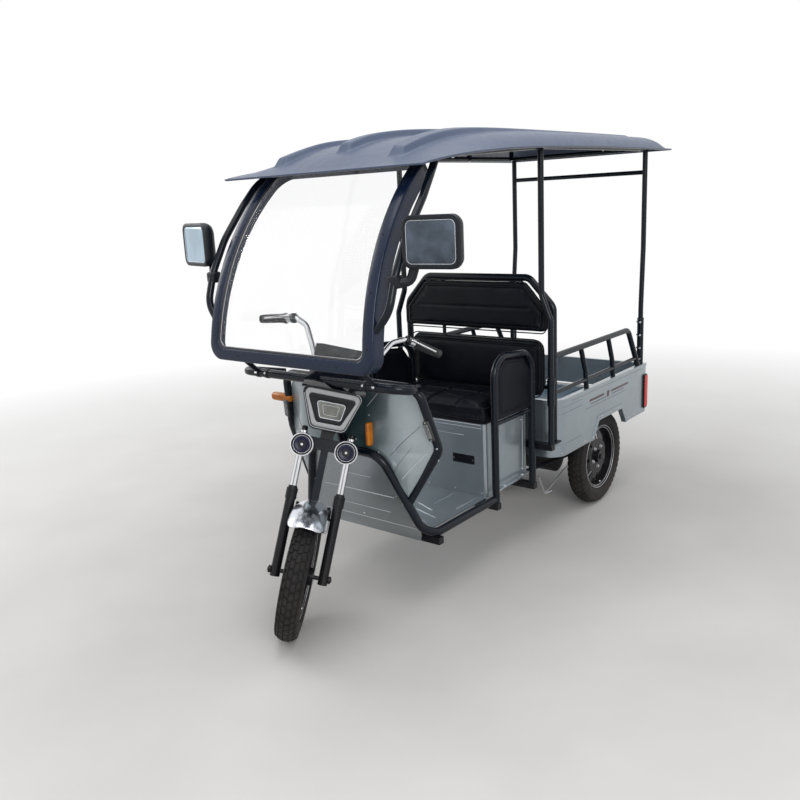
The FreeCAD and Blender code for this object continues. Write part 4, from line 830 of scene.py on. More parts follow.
def guard_form():
    """The bent tubes in front of the driver, with the steering head's tube."""
    bm = bmesh.new()
    run = [at(-330, 866, 325), at(-330, 430, 325), hoop_point(-296, 352), hoop_point(-176, 655)]
    pipe(bm, mirrored_route(run), GUARD_TUBE, 88, 24)
    loop = [at(-248, 368, 446), at(-388, 397, 680), at(-342, 340, 920)]
    pipe(bm, mirrored_route(loop), GUARD_TUBE, 62, 24)
    pipe(bm, mirrored_route([at(-344, 338, 921), at(-441, 162, 958)]), GUARD_TUBE, 62, 24)
    for side in (-1, 1):
        for x, y, z in ((250, 340, 920), (300, 62, 1050)):
            pipe(bm, [at(side * x, GUARD_BAR_Y, GUARD_BAR_Z), at(side * x, y, z)], GUARD_STRUT)
    head_top = at(0, 262, 812)
    pipe(bm, [head_top, at(0, 300, 655)], GUARD_TUBE)
    pipe(bm, [head_top, at(0, 340, 920)], GUARD_STRUT)
    lathe(bm, [(0, 0), (0.024, 0), (0.026, 0.002), (0.026, 0.012), (0.0245, 0.014), (0.0245, 0.196),
               (0.026, 0.198), (0.026, 0.208), (0.024, 0.210), (0, 0.210)],
          frame_of(fork(0, 0, -338), head_z), 32)
    stands_for(finished(bm, "guard_tubes_bent", "chassis", "black_tube"), "guard_tubes")


ROOF_FRONT, ROOF_LENGTH, ROOF_HALF, ROOF_LIP = 231.0, 2157.0, 485.0, 16.0
ROOF_BACK = ROOF_FRONT + ROOF_LENGTH
# Each rib's middle, where it starts and how high it still is at the back
RIBS = ((-287.0, 362.0, 6.0), (0.0, 412.0, 22.0), (287.0, 362.0, 6.0))
RIB_HEIGHT = 27.0
RIB_END = 2198.0, 2250.0


def roof_edge_z(y):
    """Height of the roof's lip, which climbs from the visor to the flat top."""
    return 1700.0 + 86.0 * (1 - math.exp(-max(y - ROOF_FRONT, 0.0) / 480.0))


def roof_z(x, y):
    """Height of the roof's upper face: a sloping visor, then a flat top with round shoulders."""
    run = max(y - ROOF_FRONT, 0.0)
    climb = 1 - math.exp(-(run / 185.0) ** 1.3)
    tail = min(max(run - (ROOF_LENGTH - ROOF_LIP - 90.0), 0.0) / 90.0, 1.0)
    share = min(abs(x) / (ROOF_HALF - ROOF_LIP), 1.0)
    boxiness = 1.6 + 8.0 * (1 - math.exp(-(run / 600.0) ** 2))
    height = 60.0 * (1 - share ** boxiness) + 20.0 * (1 - share ** 2)
    return roof_edge_z(y) + climb * height * (1 - tail ** 4)


def eased(value, low, high):
    """A smooth step from 0 to 1 between two values."""
    t = max(0.0, min(1.0, (value - low) / (high - low)))
    return t * t * (3 - 2 * t)


def rib_lift(x, y):
    """How far the ribs stand above the roof at a place."""
    lift = 0.0
    for middle, start, end_height in RIBS:
        across = 1 - eased(abs(x - middle), 20.0, 37.0)
        height = end_height + (RIB_HEIGHT - end_height) * math.exp(-(max(y - start, 0.0) / 620.0) ** 2)
        along = eased(y, start - 34.0, start + 6.0) * (1 - eased(y, *RIB_END))
        lift = max(lift, across * along * height)
    return lift


def roof_form():
    """The moulded roof, its grid denser where the ribs rise, and the bead round its edge."""
    inner_half = ROOF_HALF - ROOF_LIP
    across = {round(inner_half * math.sin(math.pi * (k / 44 - 0.5)), 2) for k in range(45)}
    across |= {side * (ROOF_HALF - d) for side in (-1, 1) for d in (0.0, 9.0)}
    flank = (0.0, 12.0, 20.0, 23.5, 26.0, 28.5, 31.0, 33.5, 36.0, 38.0)
    along = {round(ROOF_FRONT + ROOF_LENGTH * (k / 90) ** 1.25, 2) for k in range(91)}
    for middle, start, _ in RIBS:
        across |= {middle + side * d for side in (-1, 1) for d in flank}
        along |= {start + d for d in (-36.0, -31.0, -26.0, -21.0, -16.0, -11.0, -6.0, -1.0, 4.0, 8.0)}
    along |= {2198.0, 2210.0, 2224.0, 2238.0, 2250.0, 2372.0, 2380.0}
    rows = [[at(x, y, roof_z(x, y) + rib_lift(x, y)) for x in sorted(across)] for y in sorted(along)]
    bm = bmesh.new()
    sheet_grid(bm, rows, Vector((0, 0, -0.005)))
    stands_for(finished(bm, "roof_canopy_moulded", "chassis", "roof_blue"), "roof_canopy")
    bm = bmesh.new()
    bead = ROOF_HALF - 4
    front = [at(x, ROOF_FRONT + 5, roof_edge_z(ROOF_FRONT) - 3) for x in (-bead, -240, 0, 240, bead)]
    left = [at(bead, y, roof_edge_z(y) - 3) for y in sorted(along) if 240 < y < 2376]
    back = [at(x, ROOF_BACK - 5, roof_edge_z(ROOF_BACK) - 3) for x in (bead, 240, 0, -240, -bead)]
    right = [side_copy(point, -1) for point in reversed(left)]
    sweep(bm, front + left + back + right, 0.0042, closed=True, segments=8)
    finished(bm, "roof_edge_bead", "chassis", "roof_dark")


POST_RADIUS = 13
POST_X, POST_Y = 420, 1200
REAR_POST_X, REAR_POST_Y = 392, 2254
REAR_BOW_X, REAR_BOW_Y = 388, 2280
ROOF_RAIL_X, ROOF_RAIL_FRONT_Y = 376, 420
ROOF_BLOCK_ROWS = (560, POST_Y, 1800, 2230)


def canopy_form():
    """The tubes that carry the roof, with the sleeves that they stand in and the blocks under the roof."""
    bm = bmesh.new()
    front_z, mid_z, rear_z = (roof_edge_z(y) + 6 for y in (ROOF_RAIL_FRONT_Y, POST_Y, REAR_BOW_Y))
    for side in (-1, 1):
        mid, low, rear, bow = (side * x for x in (ROOF_RAIL_X, POST_X, REAR_POST_X, REAR_BOW_X))
        pipe(bm, [at(mid, POST_Y, mid_z), at(mid, POST_Y, 1165), at(low, POST_Y, 1055), at(low, POST_Y, 495)],
             POST_RADIUS, 60)
        pipe(bm, [at(rear, REAR_POST_Y, 660), at(rear, REAR_POST_Y, 985), at(bow, REAR_BOW_Y, 1290),
                  at(bow, REAR_BOW_Y, rear_z)], POST_RADIUS, 60)
        pipe(bm, [at(mid, ROOF_RAIL_FRONT_Y, front_z), at(mid, POST_Y, mid_z), at(bow, REAR_BOW_Y, rear_z)],
             12, 300)
        support = ((398, 56, 1176), (450, 66, 1236), (452, 104, 1350), (450, 176, 1474), (446, 278, 1594),
                   (430, 362, 1690))
        pipe(bm, [at(side * x, y, z) for x, y, z in support] + [at(mid, 459, front_z)], 14, 300)
        for radius, bottom, top, x, y in ((19, 770, 796, low, POST_Y), (17, 672, 770, low, POST_Y),
                                          (17, 672, 917, rear, REAR_POST_Y)):
            tall, r, edge = (top - bottom) / 1000, radius / 1000, 0.001
            lathe(bm, [(0, 0), (r - edge, 0), (r, edge), (r, tall - edge), (r - edge, tall), (0, tall)],
                  frame_of(at(x, y, bottom), UP), 28)
        for y in ROOF_BLOCK_ROWS:
            low_z, high_z = roof_edge_z(y) - 2, roof_z(384, y) - 4
            loop = [at(side * x, y + dy, low_z) for x, dy in ((368, -10), (384, -10), (384, 10), (368, 10))]
            loft(bm, [loop, [point + UP * ((high_z - low_z) / 1000) for point in loop]])
    for x, y, z in ((REAR_BOW_X, REAR_BOW_Y, 1674), (REAR_BOW_X, REAR_BOW_Y, rear_z),
                    (ROOF_RAIL_X, POST_Y, mid_z)):
        pipe(bm, [at(-x, y, z), at(x, y, z)], 11)
    stands_for(finished(bm, "canopy_frame_bent", "chassis", "black_tube"), "canopy_frame")


ARM_X, ARM_FRONT_Y, ARM_BACK_Y = 334, 868, 1180
BACKREST_X, BACKREST_Y, BACKREST_TOP = 399, 1263, 1230
SEAT_TUBE, CROSS_TUBE = 16, 9
CARGO_RAIL_X, CARGO_RAIL_TOP, WALL_TOP = 402, 884, 664


def seat_tubes():
    """The bent tubes of the armrests, the backrest and the cargo box."""
    bm = bmesh.new()
    for side in (-1, 1):
        x = side * ARM_X
        pipe(bm, [at(x, ARM_FRONT_Y, 308), at(x, ARM_FRONT_Y, 942), at(x, ARM_BACK_Y, 914),
                  at(x, ARM_BACK_Y, 308)],
             SEAT_TUBE, 88, 24)
        pipe(bm, [at(x, ARM_FRONT_Y, 655), at(x, ARM_BACK_Y, 655)], CROSS_TUBE)
    stands_for(finished(bm, "armrest_hoops_bent", "chassis", "black_tube"), "armrest_frames")
    bm = bmesh.new()
    corners = ((-BACKREST_X, 495), (-BACKREST_X, 1104), (-280, BACKREST_TOP))
    pipe(bm, mirrored_route([at(x, BACKREST_Y, z) for x, z in corners]), SEAT_TUBE, 50, 24)
    for x in (-190, 190):
        pipe(bm, [at(x, BACKREST_Y, 690), at(x, BACKREST_Y, BACKREST_TOP)], CROSS_TUBE)
    for z in (740, 1050):
        pipe(bm, [at(-BACKREST_X, BACKREST_Y, z), at(BACKREST_X, BACKREST_Y, z)], CROSS_TUBE)
    stands_for(finished(bm, "backrest_frame_bent", "chassis", "black_tube"), "backrest_frame")
    bm = bmesh.new()
    for side in (-1, 1):
        x = side * CARGO_RAIL_X
        rail = [at(x, BACKREST_Y, CARGO_RAIL_TOP), at(x, 2066, CARGO_RAIL_TOP), at(x, 2206, WALL_TOP)]
        pipe(bm, rail, 14, 60, 24)
        pipe(bm, [at(x, BACKREST_Y, 717), at(x, 2172, 717)], 10)
        for y in (1590, 1890):
            pipe(bm, [at(x, y, WALL_TOP), at(x, y - 14, 760), at(x, y - 66, CARGO_RAIL_TOP)], 12, 90)
    stands_for(finished(bm, "cargo_rails_bent", "chassis", "black_tube"), "cargo_rails")


def circle_through(a, b, c):
    """Centre and radius of the circle through three points of a plane."""
    d = 2 * (a[0] * (b[1] - c[1]) + b[0] * (c[1] - a[1]) + c[0] * (a[1] - b[1]))
    squares = [p[0] ** 2 + p[1] ** 2 for p in (a, b, c)]
    x = (squares[0] * (b[1] - c[1]) + squares[1] * (c[1] - a[1]) + squares[2] * (a[1] - b[1])) / d
    y = (squares[0] * (c[0] - b[0]) + squares[1] * (a[0] - c[0]) + squares[2] * (b[0] - a[0])) / d
    return x, y, math.hypot(a[0] - x, a[1] - y)


# The windscreen's arc: where it starts, a point on it and where it ends, as (y, z)
SCREEN_LOW, SCREEN_MIDDLE, SCREEN_HIGH = (30, 1052), (122, 1388), (384, 1706)
SCREEN_TAPER = 32
ARC_Y, ARC_Z, ARC_RADIUS = circle_through(SCREEN_LOW, SCREEN_MIDDLE, SCREEN_HIGH)


def screen_half(low_half, z):
    """Half the windscreen's width at a height, from the half width at its foot."""
    return low_half - SCREEN_TAPER * (z - SCREEN_LOW[1]) / (SCREEN_HIGH[1] - SCREEN_LOW[1])


def screen_point(x, z, offset=0.0):
    """A point on the windscreen's arc, moved forward by an offset."""
    y = ARC_Y - math.sqrt(ARC_RADIUS ** 2 - (z - ARC_Z) ** 2)
    grow = (ARC_RADIUS + offset) / ARC_RADIUS
    return at(x, ARC_Y + (y - ARC_Y) * grow, ARC_Z + (z - ARC_Z) * grow)


def screen_loop(inset, top_inset, radius):
    """An outline on the windscreen as x and z, with points close enough to follow the arc."""
    bottom, top = 411 - inset, 379 - inset
    low, high = 1029 + inset, 1736 - top_inset
    corners = ((-bottom, low), (bottom, low), (top, high), (-top, high))
    loop = rounded_loop([Vector((x, 0, z)) for x, z in corners], radius, 10)
    dense = []
    for a, b in zip(loop, loop[1:] + loop[:1]):
        count = 14 if (b - a).length > 300 else 1
        dense += [a + (b - a) * (k / count) for k in range(count)]
    return dense


def screen_form():
    """The windscreen's moulded frame, its bent pane and the seal between them."""
    outer, inner = screen_loop(0, 0, 60), screen_loop(46, 18, 30)
    section = [(0.0, 5), (0.02, 9.5), (0.07, 12), (0.14, 13), (0.86, 13), (0.93, 12), (0.98, 9.5), (1.0, 5),
               (1.0, -5), (0.98, -9.5), (0.93, -12), (0.86, -13), (0.36, -13), (0.34, -15), (0.34, -48),
               (0.32, -49), (0.05, -49), (0.03, -48), (0.03, -12)]
    bm = bmesh.new()
    loft(bm, [[screen_point(a.x + (b.x - a.x) * u, a.z + (b.z - a.z) * u, d) for a, b in zip(outer, inner)]
              for u, d in section], closed=True)
    stands_for(finished(bm, "windscreen_frame_moulded", "chassis", "screen_navy"),
               "windscreen_frame")
    bm = bmesh.new()
    rows = []
    pane_low, pane_high = 1072, 1721
    for j in range(41):
        z = pane_low + (pane_high - pane_low) * j / 40
        rows.append([screen_point(screen_half(368, z) * (i / 12 - 1), z, 2.0) for i in range(25)])
    sheet_grid(bm, rows, Vector((0, 0.0045, 0)))
    stands_for(finished(bm, "windscreen_glass_bent", "chassis", "clear_glass"), "windscreen_glass")
    for name, inset, lift, radius, material in (("windscreen_seal", 47, 4.5, 0.0042, "grip_rubber"),
                                                ("windscreen_bright_line", 52, 2.8, 0.0012, "satin_metal")):
        bm = bmesh.new()
        path = [screen_point(p.x, p.z, lift) for p in screen_loop(inset, inset - 28, 30)]
        sweep(bm, path, radius, closed=True, segments=8)
        finished(bm, name, "chassis", material)


POD_TOP, POD_BOTTOM, POD_WIDE, POD_NARROW = -179, -334, 120, 68
POD_CORNERS = ((-POD_WIDE, POD_TOP), (POD_WIDE, POD_TOP), (POD_NARROW, POD_BOTTOM), (-POD_NARROW, POD_BOTTOM))
POD_FOOT_AHEAD = 106
POD_SLOPE = 58 / (POD_TOP - POD_BOTTOM)


def face_point(x, up, lift=0.0):
    """A point on the headlamp's sloping face, lifted forward."""
    return fork(x, POD_FOOT_AHEAD + POD_SLOPE * (up - POD_BOTTOM) + lift, up)


def pod_loop(inset, lift, radius):
    """The headlamp's outline, moved inwards and lifted."""
    top, bottom = POD_TOP - inset, POD_BOTTOM + inset
    wide, narrow = POD_WIDE - inset, POD_NARROW - inset * 0.8
    return rounded_loop([face_point(x, up, lift) for x, up in ((-wide, top), (wide, top), (narrow, bottom),
                                                               (-narrow, bottom))], radius / 1000, 8)


def pod_form():
    """The headlamp: housing, ring, bezel, lens and bright lines."""
    back = rounded_loop([fork(x * 0.72, 34, up * 0.94 - 14) for x, up in POD_CORNERS], 0.024, 8)
    front = pod_loop(0, -4, 27)
    middle = [a * 0.5 + b * 0.5 for a, b in zip(back, front)]
    centre = sum(middle, Vector()) / len(middle)
    middle = [centre + (p - centre) * 1.035 for p in middle]
    bm = bmesh.new()
    face = ((1.0, -1.2, 26), (3.5, 0, 24), (9, 0, 21), (10, -1, 20), (10, -15, 20))
    loft(bm, [back, middle, front] + [pod_loop(*station) for station in face])
    foot = [fork(x, ahead_mm, -362) for x, ahead_mm in ((-24, 20), (24, 20), (24, 44), (-24, 44))]
    loft(bm, [foot, [p + head_z * 0.05 for p in foot]])
    made = finished(bm, "headlamp_housing_moulded", "steering", "gloss_black")
    stands_for(made, "headlamp_housing")
    bm = bmesh.new()
    ring = ((10.3, -12, 20), (10.3, -5, 20), (11.6, -3.4, 19), (25.6, -3.4, 12), (27, -5, 12), (27, -12, 12))
    loft(bm, [pod_loop(*station) for station in ring], closed=True)
    stands_for(finished(bm, "headlamp_ring_moulded", "steering", "grey_ring"), "headlamp_ring")
    bm = bmesh.new()
    bezel = ((27.2, -14, 12), (27.2, -9, 12), (30, -7.5, 11), (40, -8.5, 8), (43, -10, 8))
    loft(bm, [pod_loop(*station) for station in bezel])
    finished(bm, "headlamp_bezel", "steering", "gloss_black")
    lens_corners = ((-52, -231), (52, -231), (42, -288), (-34, -288))
    lens_middle = -258

    def lens_loop(shrink, lift, radius):
        return rounded_loop([face_point(x * shrink, lens_middle + (up - lens_middle) * shrink, lift)
                             for x, up in lens_corners], radius / 1000, 6)

    bm = bmesh.new()
    lens = ((1.0, -11, 9), (1.0, -5.5, 9), (0.96, -4.0, 9), (0.80, -3.4, 7), (0.5, -3.0, 5), (0.2, -2.9, 2))
    loft(bm, [lens_loop(*station) for station in lens])
    stands_for(finished(bm, "headlamp_lens_moulded", "steering", "lens_smoke"), "headlamp_lens")
    bm = bmesh.new()
    sweep(bm, lens_loop(1.03, -5.2, 9.3), 0.0019, closed=True, segments=10)
    sweep(bm, lens_loop(0.62, -2.9, 6), 0.0007, closed=True, segments=6)
    brow = pod_loop(6, 0.2, 22)
    sweep(bm, brow[9:] + brow[:1], 0.0010, segments=8)
    finished(bm, "headlamp_bright_lines", "steering", "bright_paint")


def lamp_forms():
    """The round lamps' bodies on the fork."""
    bm = bmesh.new()
    profile = ((0, 0), (14, 0), (14, 14), (30, 16), (40, 18.5), (43, 23), (43, 45), (42.4, 46), (37, 46),
               (37, 40), (0, 40))
    for side in (-1, 1):
        place = frame_of(fork(side * LAMP_X, 28, LAMP_UP), FORK_AHEAD)
        lathe(bm, [(r / 1000, z / 1000) for r, z in profile], place, 56)
    stands_for(finished(bm, "fork_lamp_bodies", "steering", "gloss_black"), "fork_lamps")


SQUARE = ((-1, -1), (1, -1), (1, 1), (-1, 1))


def capsule(bm, start, end, across, upward, half_a, half_b, corner):
    """A bar of rounded section with rounded ends, along a line."""
    loops = []
    for share, shrink in ((0.0, 0.55), (0.02, 0.78), (0.06, 0.92), (0.12, 1.0), (0.88, 1.0), (0.94, 0.92),
                          (0.98, 0.78), (1.0, 0.55)):
        centre = start + (end - start) * share
        a, b = half_a * shrink, half_b * shrink
        loops.append(rounded_loop([centre + across * a * u + upward * b * v for u, v in SQUARE],
                                  corner * shrink, 5))
    loft(bm, loops)


def signal_forms():
    """The turn signals: a level one on the far side and an upright one, with the lines of their lenses."""
    bm = bmesh.new()
    capsule(bm, at(-345, 364, 805), at(-456, 364, 805), BACK, UP, 0.017, 0.018, 0.014)
    capsule(bm, at(129, 303, 684), at(129, 303, 776), ACROSS, BACK, 0.0095, 0.017, 0.009)
    made = finished(bm, "turn_signal_lenses", "chassis", "amber_lens")
    stands_for(made, "turn_signals")
    bm = bmesh.new()
    for k in range(7):
        x = -372 - k * 12
        for z in (1, -1):
            sweep(bm, [at(x, 346.8, 805 - 9 * z), at(x, 346.8, 805)], 0.0007, segments=6)
    sweep(bm, [at(-356, 346.8, 805), at(-440, 346.8, 805)], 0.0008, segments=6)
    for z in range(698, 766, 9):
        sweep(bm, [at(122.5, 285.8, z), at(135.5, 285.8, z)], 0.0007, segments=6)
    finished(bm, "turn_signal_lines", "chassis", "amber_dark")


SHEET = Vector((0, 0.004, 0))


def shield_y(t, inner_y, outer_y, bulge):
    """How far back a row of the leg shield lies at a share of its way out: a sweep with a rounded swell."""
    return inner_y + (outer_y - inner_y) * t * t - bulge * math.exp(-((t - 0.70) / 0.19) ** 2) * (1 - t ** 4)


def shield_forms():
    """The two leg shields and the apron between them."""
    bm = bmesh.new()
    columns = [k / 30 for k in range(31)]
    # Rows above the waist: the outer end, how far back the inner end lies and the swell
    inner_x, waist_inner_y, waist_x, waist_y, waist_bulge = 4, 298, 374, 392, 11
    upper = (((290, 339, 908), 332, 6.6), ((322, 350, 876), 322, 17.6), ((352, 374, 800), 310, 22),
             ((368, 388, 744), 304, 22), ((376, 393, 704), 300, 19.8),
             ((waist_x, waist_y, 664), waist_inner_y, waist_bulge))
    upper_rows = [[at(inner_x + (x - inner_x) * t, shield_y(t, inner_y, y, bulge), z) for t in columns]
                  for (x, y, z), inner_y, bulge in upper]
    # Rows below it: both ends, the swell and the share that they still follow of the waist's row
    lower = (((waist_x, waist_y, 664.5), (160, 314), 11, 1.0), ((360, 386, 636), (178, 318), 9.9, 0.8),
             ((324, 378, 575), (208, 332), 7.7, 0.45), ((286, 371, 510), (236, 345), 4.4, 0.15),
             ((256, 366, 462), (250, 360), 1.1, 0.0))
    lower_rows = []
    for (x, y, z), (x0, y0), bulge, follow in lower:
        row = []
        for t in columns:
            here = x0 + (x - x0) * t
            waist_share = min((here - inner_x) / (waist_x - inner_x), 1.0)
            waist = shield_y(waist_share, waist_inner_y, waist_y, waist_bulge)
            row.append(at(here, waist * follow + shield_y(t, y0, y, bulge) * (1 - follow), z))
        lower_rows.append(row)
    for grid in (smooth_rows(upper_rows, 6), smooth_rows(lower_rows, 6)):
        for side in (-1, 1):
            sheet_grid(bm, [[side_copy(point, side) for point in line] for line in grid], SHEET)
    stands_for(finished(bm, "leg_shields_swept", "chassis", "shield_painted_shade"), "leg_shields")
    bm = bmesh.new()
    edge = ((160, 650), (181, 612), (234, 470), (274, 362), (284, 338))
    foot = ((283, 399, 328), (278, 406, 308), (270, 409, 287))
    shares = [k / 12 - 1 for k in range(25)]
    rows = [[hoop_point(x * share, z, -4) for share in shares] for x, z in edge]
    rows += [[at(x * share, y, z) for share in shares] for x, y, z in foot]
    sheet_grid(bm, smooth_rows(rows, 4), SHEET)
    stands_for(finished(bm, "front_apron_pressed", "chassis", "apron_silver"), "front_apron")


MIRROR_X, MIRROR_Z, MIRROR_HALF, MIRROR_TALL = 576, 1455, 107, 84
# The housing's section: inset, place, corner radius and scale
MIRROR_STATIONS = ((14, 136, 20, 1), (14, 129.5, 20, 1), (12.5, 128, 21, 1), (5, 128, 29, 1),
                   (1.5, 129.5, 32, 1), (0, 133, 34, 1), (0, 150, 34, 1), (0, 162, 34, 0.96),
                   (0, 174, 34, 0.88), (0, 182, 34, 0.76), (0, 185, 34, 0.62))


def mirror_forms():
    """The mirrors, each turned a little about its own upright axis, with their arms."""
    for side, swing, name in ((-1, -15.0, "far"), (1, 4.0, "near")):
        bm, glass = bmesh.new(), bmesh.new()
        pivot = at(side * 583, 156, MIRROR_Z)
        swung = Matrix.Rotation(math.radians(swing), 4, "Z")
        turned = Matrix.Translation(pivot) @ swung @ Matrix.Translation(-pivot)

        def loop(inset, y, radius, scale=1.0):
            half, tall = (MIRROR_HALF - inset) * scale, (MIRROR_TALL - inset) * scale
            corners = [at(side * MIRROR_X + x * half, y, MIRROR_Z + z * tall) for x, z in SQUARE]
            return [turned @ p for p in rounded_loop(corners, radius / 1000 * scale, 7)]

        loft(bm, [loop(*station) for station in MIRROR_STATIONS])
        arm = [at(side * 451, 106, 1330), at(side * 490, 136, 1330), at(side * 506, 152, 1400)]
        pipe(bm, arm, 16, 26)
        capsule(bm, at(side * 452, 84, 1332), at(side * 452, 128, 1332), ACROSS, UP, 0.020, 0.021, 0.008)
        made = finished(bm, "mirror_housing_" + name, "chassis", "dark_plastic")
        stands_for(made, "mirror_housings")
        loft(glass, [loop(14.4, 135, 20), loop(14.4, 131.4, 20), loop(16, 130.6, 19), loop(40, 130.2, 12)])
        outline = bmesh.new()
        sweep(outline, loop(16.5, 130.2, 19), 0.0009, closed=True, segments=8)
        finished(outline, "mirror_line_" + name, "chassis", "bright_paint")
        # Each glass takes its own colour, which is a painted reflection.
        made = finished(glass, "mirror_glass_" + name, "chassis", "mirror_" + name)
        stands_for(made, "mirror_glasses")


guard_form()
roof_form()
canopy_form()
seat_tubes()
screen_form()
pod_form()
lamp_forms()
signal_forms()
shield_forms()
mirror_forms()


# Cushions and pads

def inset_polygon(points, distance):
    """A convex outline moved inwards by a distance."""
    moved = []
    count = len(points)
    area = sum(a[0] * b[1] - b[0] * a[1] for a, b in zip(points, points[1:] + points[:1]))
    turn_sign = 1 if area > 0 else -1
    for k in range(count):
        before = (Vector(points[k]) - Vector(points[k - 1])).normalized()
        after = (Vector(points[(k + 1) % count]) - Vector(points[k])).normalized()
        n1 = Vector((-before.y, before.x)) * turn_sign
        n2 = Vector((-after.y, after.x)) * turn_sign
        half = (n1 + n2).normalized()
        moved.append(Vector(points[k]) + half * distance / max(0.3, half.dot(n1)))
    return moved


def inset_loop(outline, inset, corner, least):
    """A rounded outline moved inwards, in the plane of its placement."""
    return rounded_loop([p.to_3d() for p in inset_polygon(outline, inset)], max(least, corner - inset))


def cushion_form(outline, corner, thick, crown, place):
    """A crowned closed form over an outline given in metres, its sides bulging between their seams."""
    sides = ((0.004, 0.0), (0.0012, 0.10), (0.0, 0.35), (0.0, 0.62), (0.002, 0.82), (0.007, 0.95),
             (0.014, 1.0))
    loops = [[p + UP * (thick * share) for p in inset_loop(outline, inset, corner, 0.004)]
             for inset, share in sides]
    rim = inset_loop(outline, sides[-1][0], corner, 0.004)
    middle = sum(rim, Vector()) / len(rim)
    for share in (0.85, 0.62, 0.36, 0.14):
        loops.append([middle + (p - middle) * share + UP * (thick + crown * (1 - share ** 2.4)) for p in rim])
    bm = bmesh.new()
    loft(bm, [[place @ point for point in loop] for loop in loops])
    return mesh_from(bm, "form")


def bake(obj):
    """Applies the object's modifiers to its mesh and removes them."""
    graph = bpy.context.evaluated_depsgraph_get()
    mesh = bpy.data.meshes.new_from_object(obj.evaluated_get(graph))
    obj.modifiers.clear()
    old = obj.data
    obj.data = mesh
    bpy.data.meshes.remove(old)


SWELL_FRAMES = 20


def swell(obj, place, thick, cap):
    """Lets the form swell as sewn cloth under pressure, its underside held and each move limited to a cap."""
    inverse = place.inverted()
    start = [vertex.co.copy() for vertex in obj.data.vertices]
    held = obj.vertex_groups.new(name="held")
    held.add([v.index for v in obj.data.vertices if (inverse @ v.co).z < thick * 0.08], 1.0, "REPLACE")
    cloth = obj.modifiers.new("cloth", "CLOTH")
    cloth.settings.quality = 5
    cloth.settings.mass = 0.3
    cloth.settings.use_pressure = True
    cloth.settings.uniform_pressure_force = 4.0
    cloth.settings.vertex_group_mass = "held"
    cloth.settings.effector_weights.gravity = 0
    cloth.point_cache.frame_start = 1
    cloth.point_cache.frame_end = SWELL_FRAMES
    scene = bpy.context.scene
    for number in range(1, SWELL_FRAMES + 1):
        scene.frame_set(number)
    bake(obj)
    obj.vertex_groups.clear()
    scene.frame_set(1)
    for vertex, origin in zip(obj.data.vertices, start):
        offset = vertex.co - origin
        if offset.length > cap:
            vertex.co = origin + offset.normalized() * cap


def seam_drop(here, seams):
    """How deep the seams pull a place of the cover in, each with a low swell on both sides."""
    drop = 0.0
    for first, last, depth, width in seams:
        a, b = Vector(first), Vector(last)
        along = b - a
        share = max(0.0, min(1.0, (here - a).dot(along) / along.length_squared))
        gap = (here - (a + along * share)).length
        drop += depth * math.exp(-(gap / width) ** 2)
        drop -= depth * 0.18 * math.exp(-((gap - 2.6 * width) / (1.6 * width)) ** 2)
    return drop


def border_drop(here, line):
    """How deep the seam that runs round inside the edge pulls a place of the cover in."""
    depth = 0.0045
    gap = min(abs((here - p).dot(Vector((-(q - p).y, (q - p).x)).normalized()))
              if 0 <= (here - p).dot(q - p) <= (q - p).length_squared else 1.0
              for p, q in zip(line, line[1:] + line[:1]))
    return depth * math.exp(-(gap / depth) ** 2)


def cushion(name, node, body, outline, corner, thick, crown, place, seams, border_inset=0.0, cap=0.010,
            wrinkle=0.0):
    """A stuffed piece: swollen cloth with seams, folds and, where wished, a seam round inside its edge."""
    made = placed(name, cushion_form(inset_polygon(outline, 0.006), corner, thick * 0.93, crown, place))
    remesh = made.modifiers.new("remesh", "REMESH")
    remesh.mode = "VOXEL"
    remesh.voxel_size = 0.0062
    bake(made)
    swell(made, place, thick, cap)
    smooth = made.modifiers.new("smooth", "SMOOTH")
    smooth.iterations = 3
    finer = made.modifiers.new("finer", "SUBSURF")
    finer.levels = 1
    bake(made)
    inverse = place.inverted()
    line = inset_polygon(outline, border_inset)
    flank = 0.45
    for vertex in made.data.vertices:
        local = inverse @ vertex.co
        if local.z < thick * flank:
            continue
        here = Vector((local.x, local.y))
        drop = seam_drop(here, seams)
        if border_inset:
            drop += border_drop(here, line)
        if wrinkle:
            fold = noise.noise(Vector((local.x * 9.0 + local.y * 3.0, local.y * 26.0, 3.7)))
            drop += wrinkle * fold * fold * 2.0
            drop += wrinkle * 0.35 * noise.noise(Vector((local.x * 30.0, local.y * 30.0, 1.3)))
        reach = min(1.0, (local.z / thick - flank) / 0.35)
        vertex.co = place @ (local - UP * (drop * reach))
    dressed(made, body, "seat_leather")
    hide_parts(node)


def piping(name, body, outline, corner, inset, height, place, radius=0.0028):
    """A cord sewn in round a cushion, at a height above the cushion's underside."""
    bm = bmesh.new()
    loop = inset_loop(outline, inset, corner, 0.006)
    dense = []
    for a, b in zip(loop, loop[1:] + loop[:1]):
        count = max(1, int((b - a).length / 0.02))
        dense += [a + (b - a) * (k / count) for k in range(count)]
    sweep(bm, [place @ (p + UP * height) for p in dense], radius, closed=True, segments=8)
    finished(bm, name, body, "piping")


SEAT_LID_TOP = 0.6708
PAD_BACK_Y = 1254


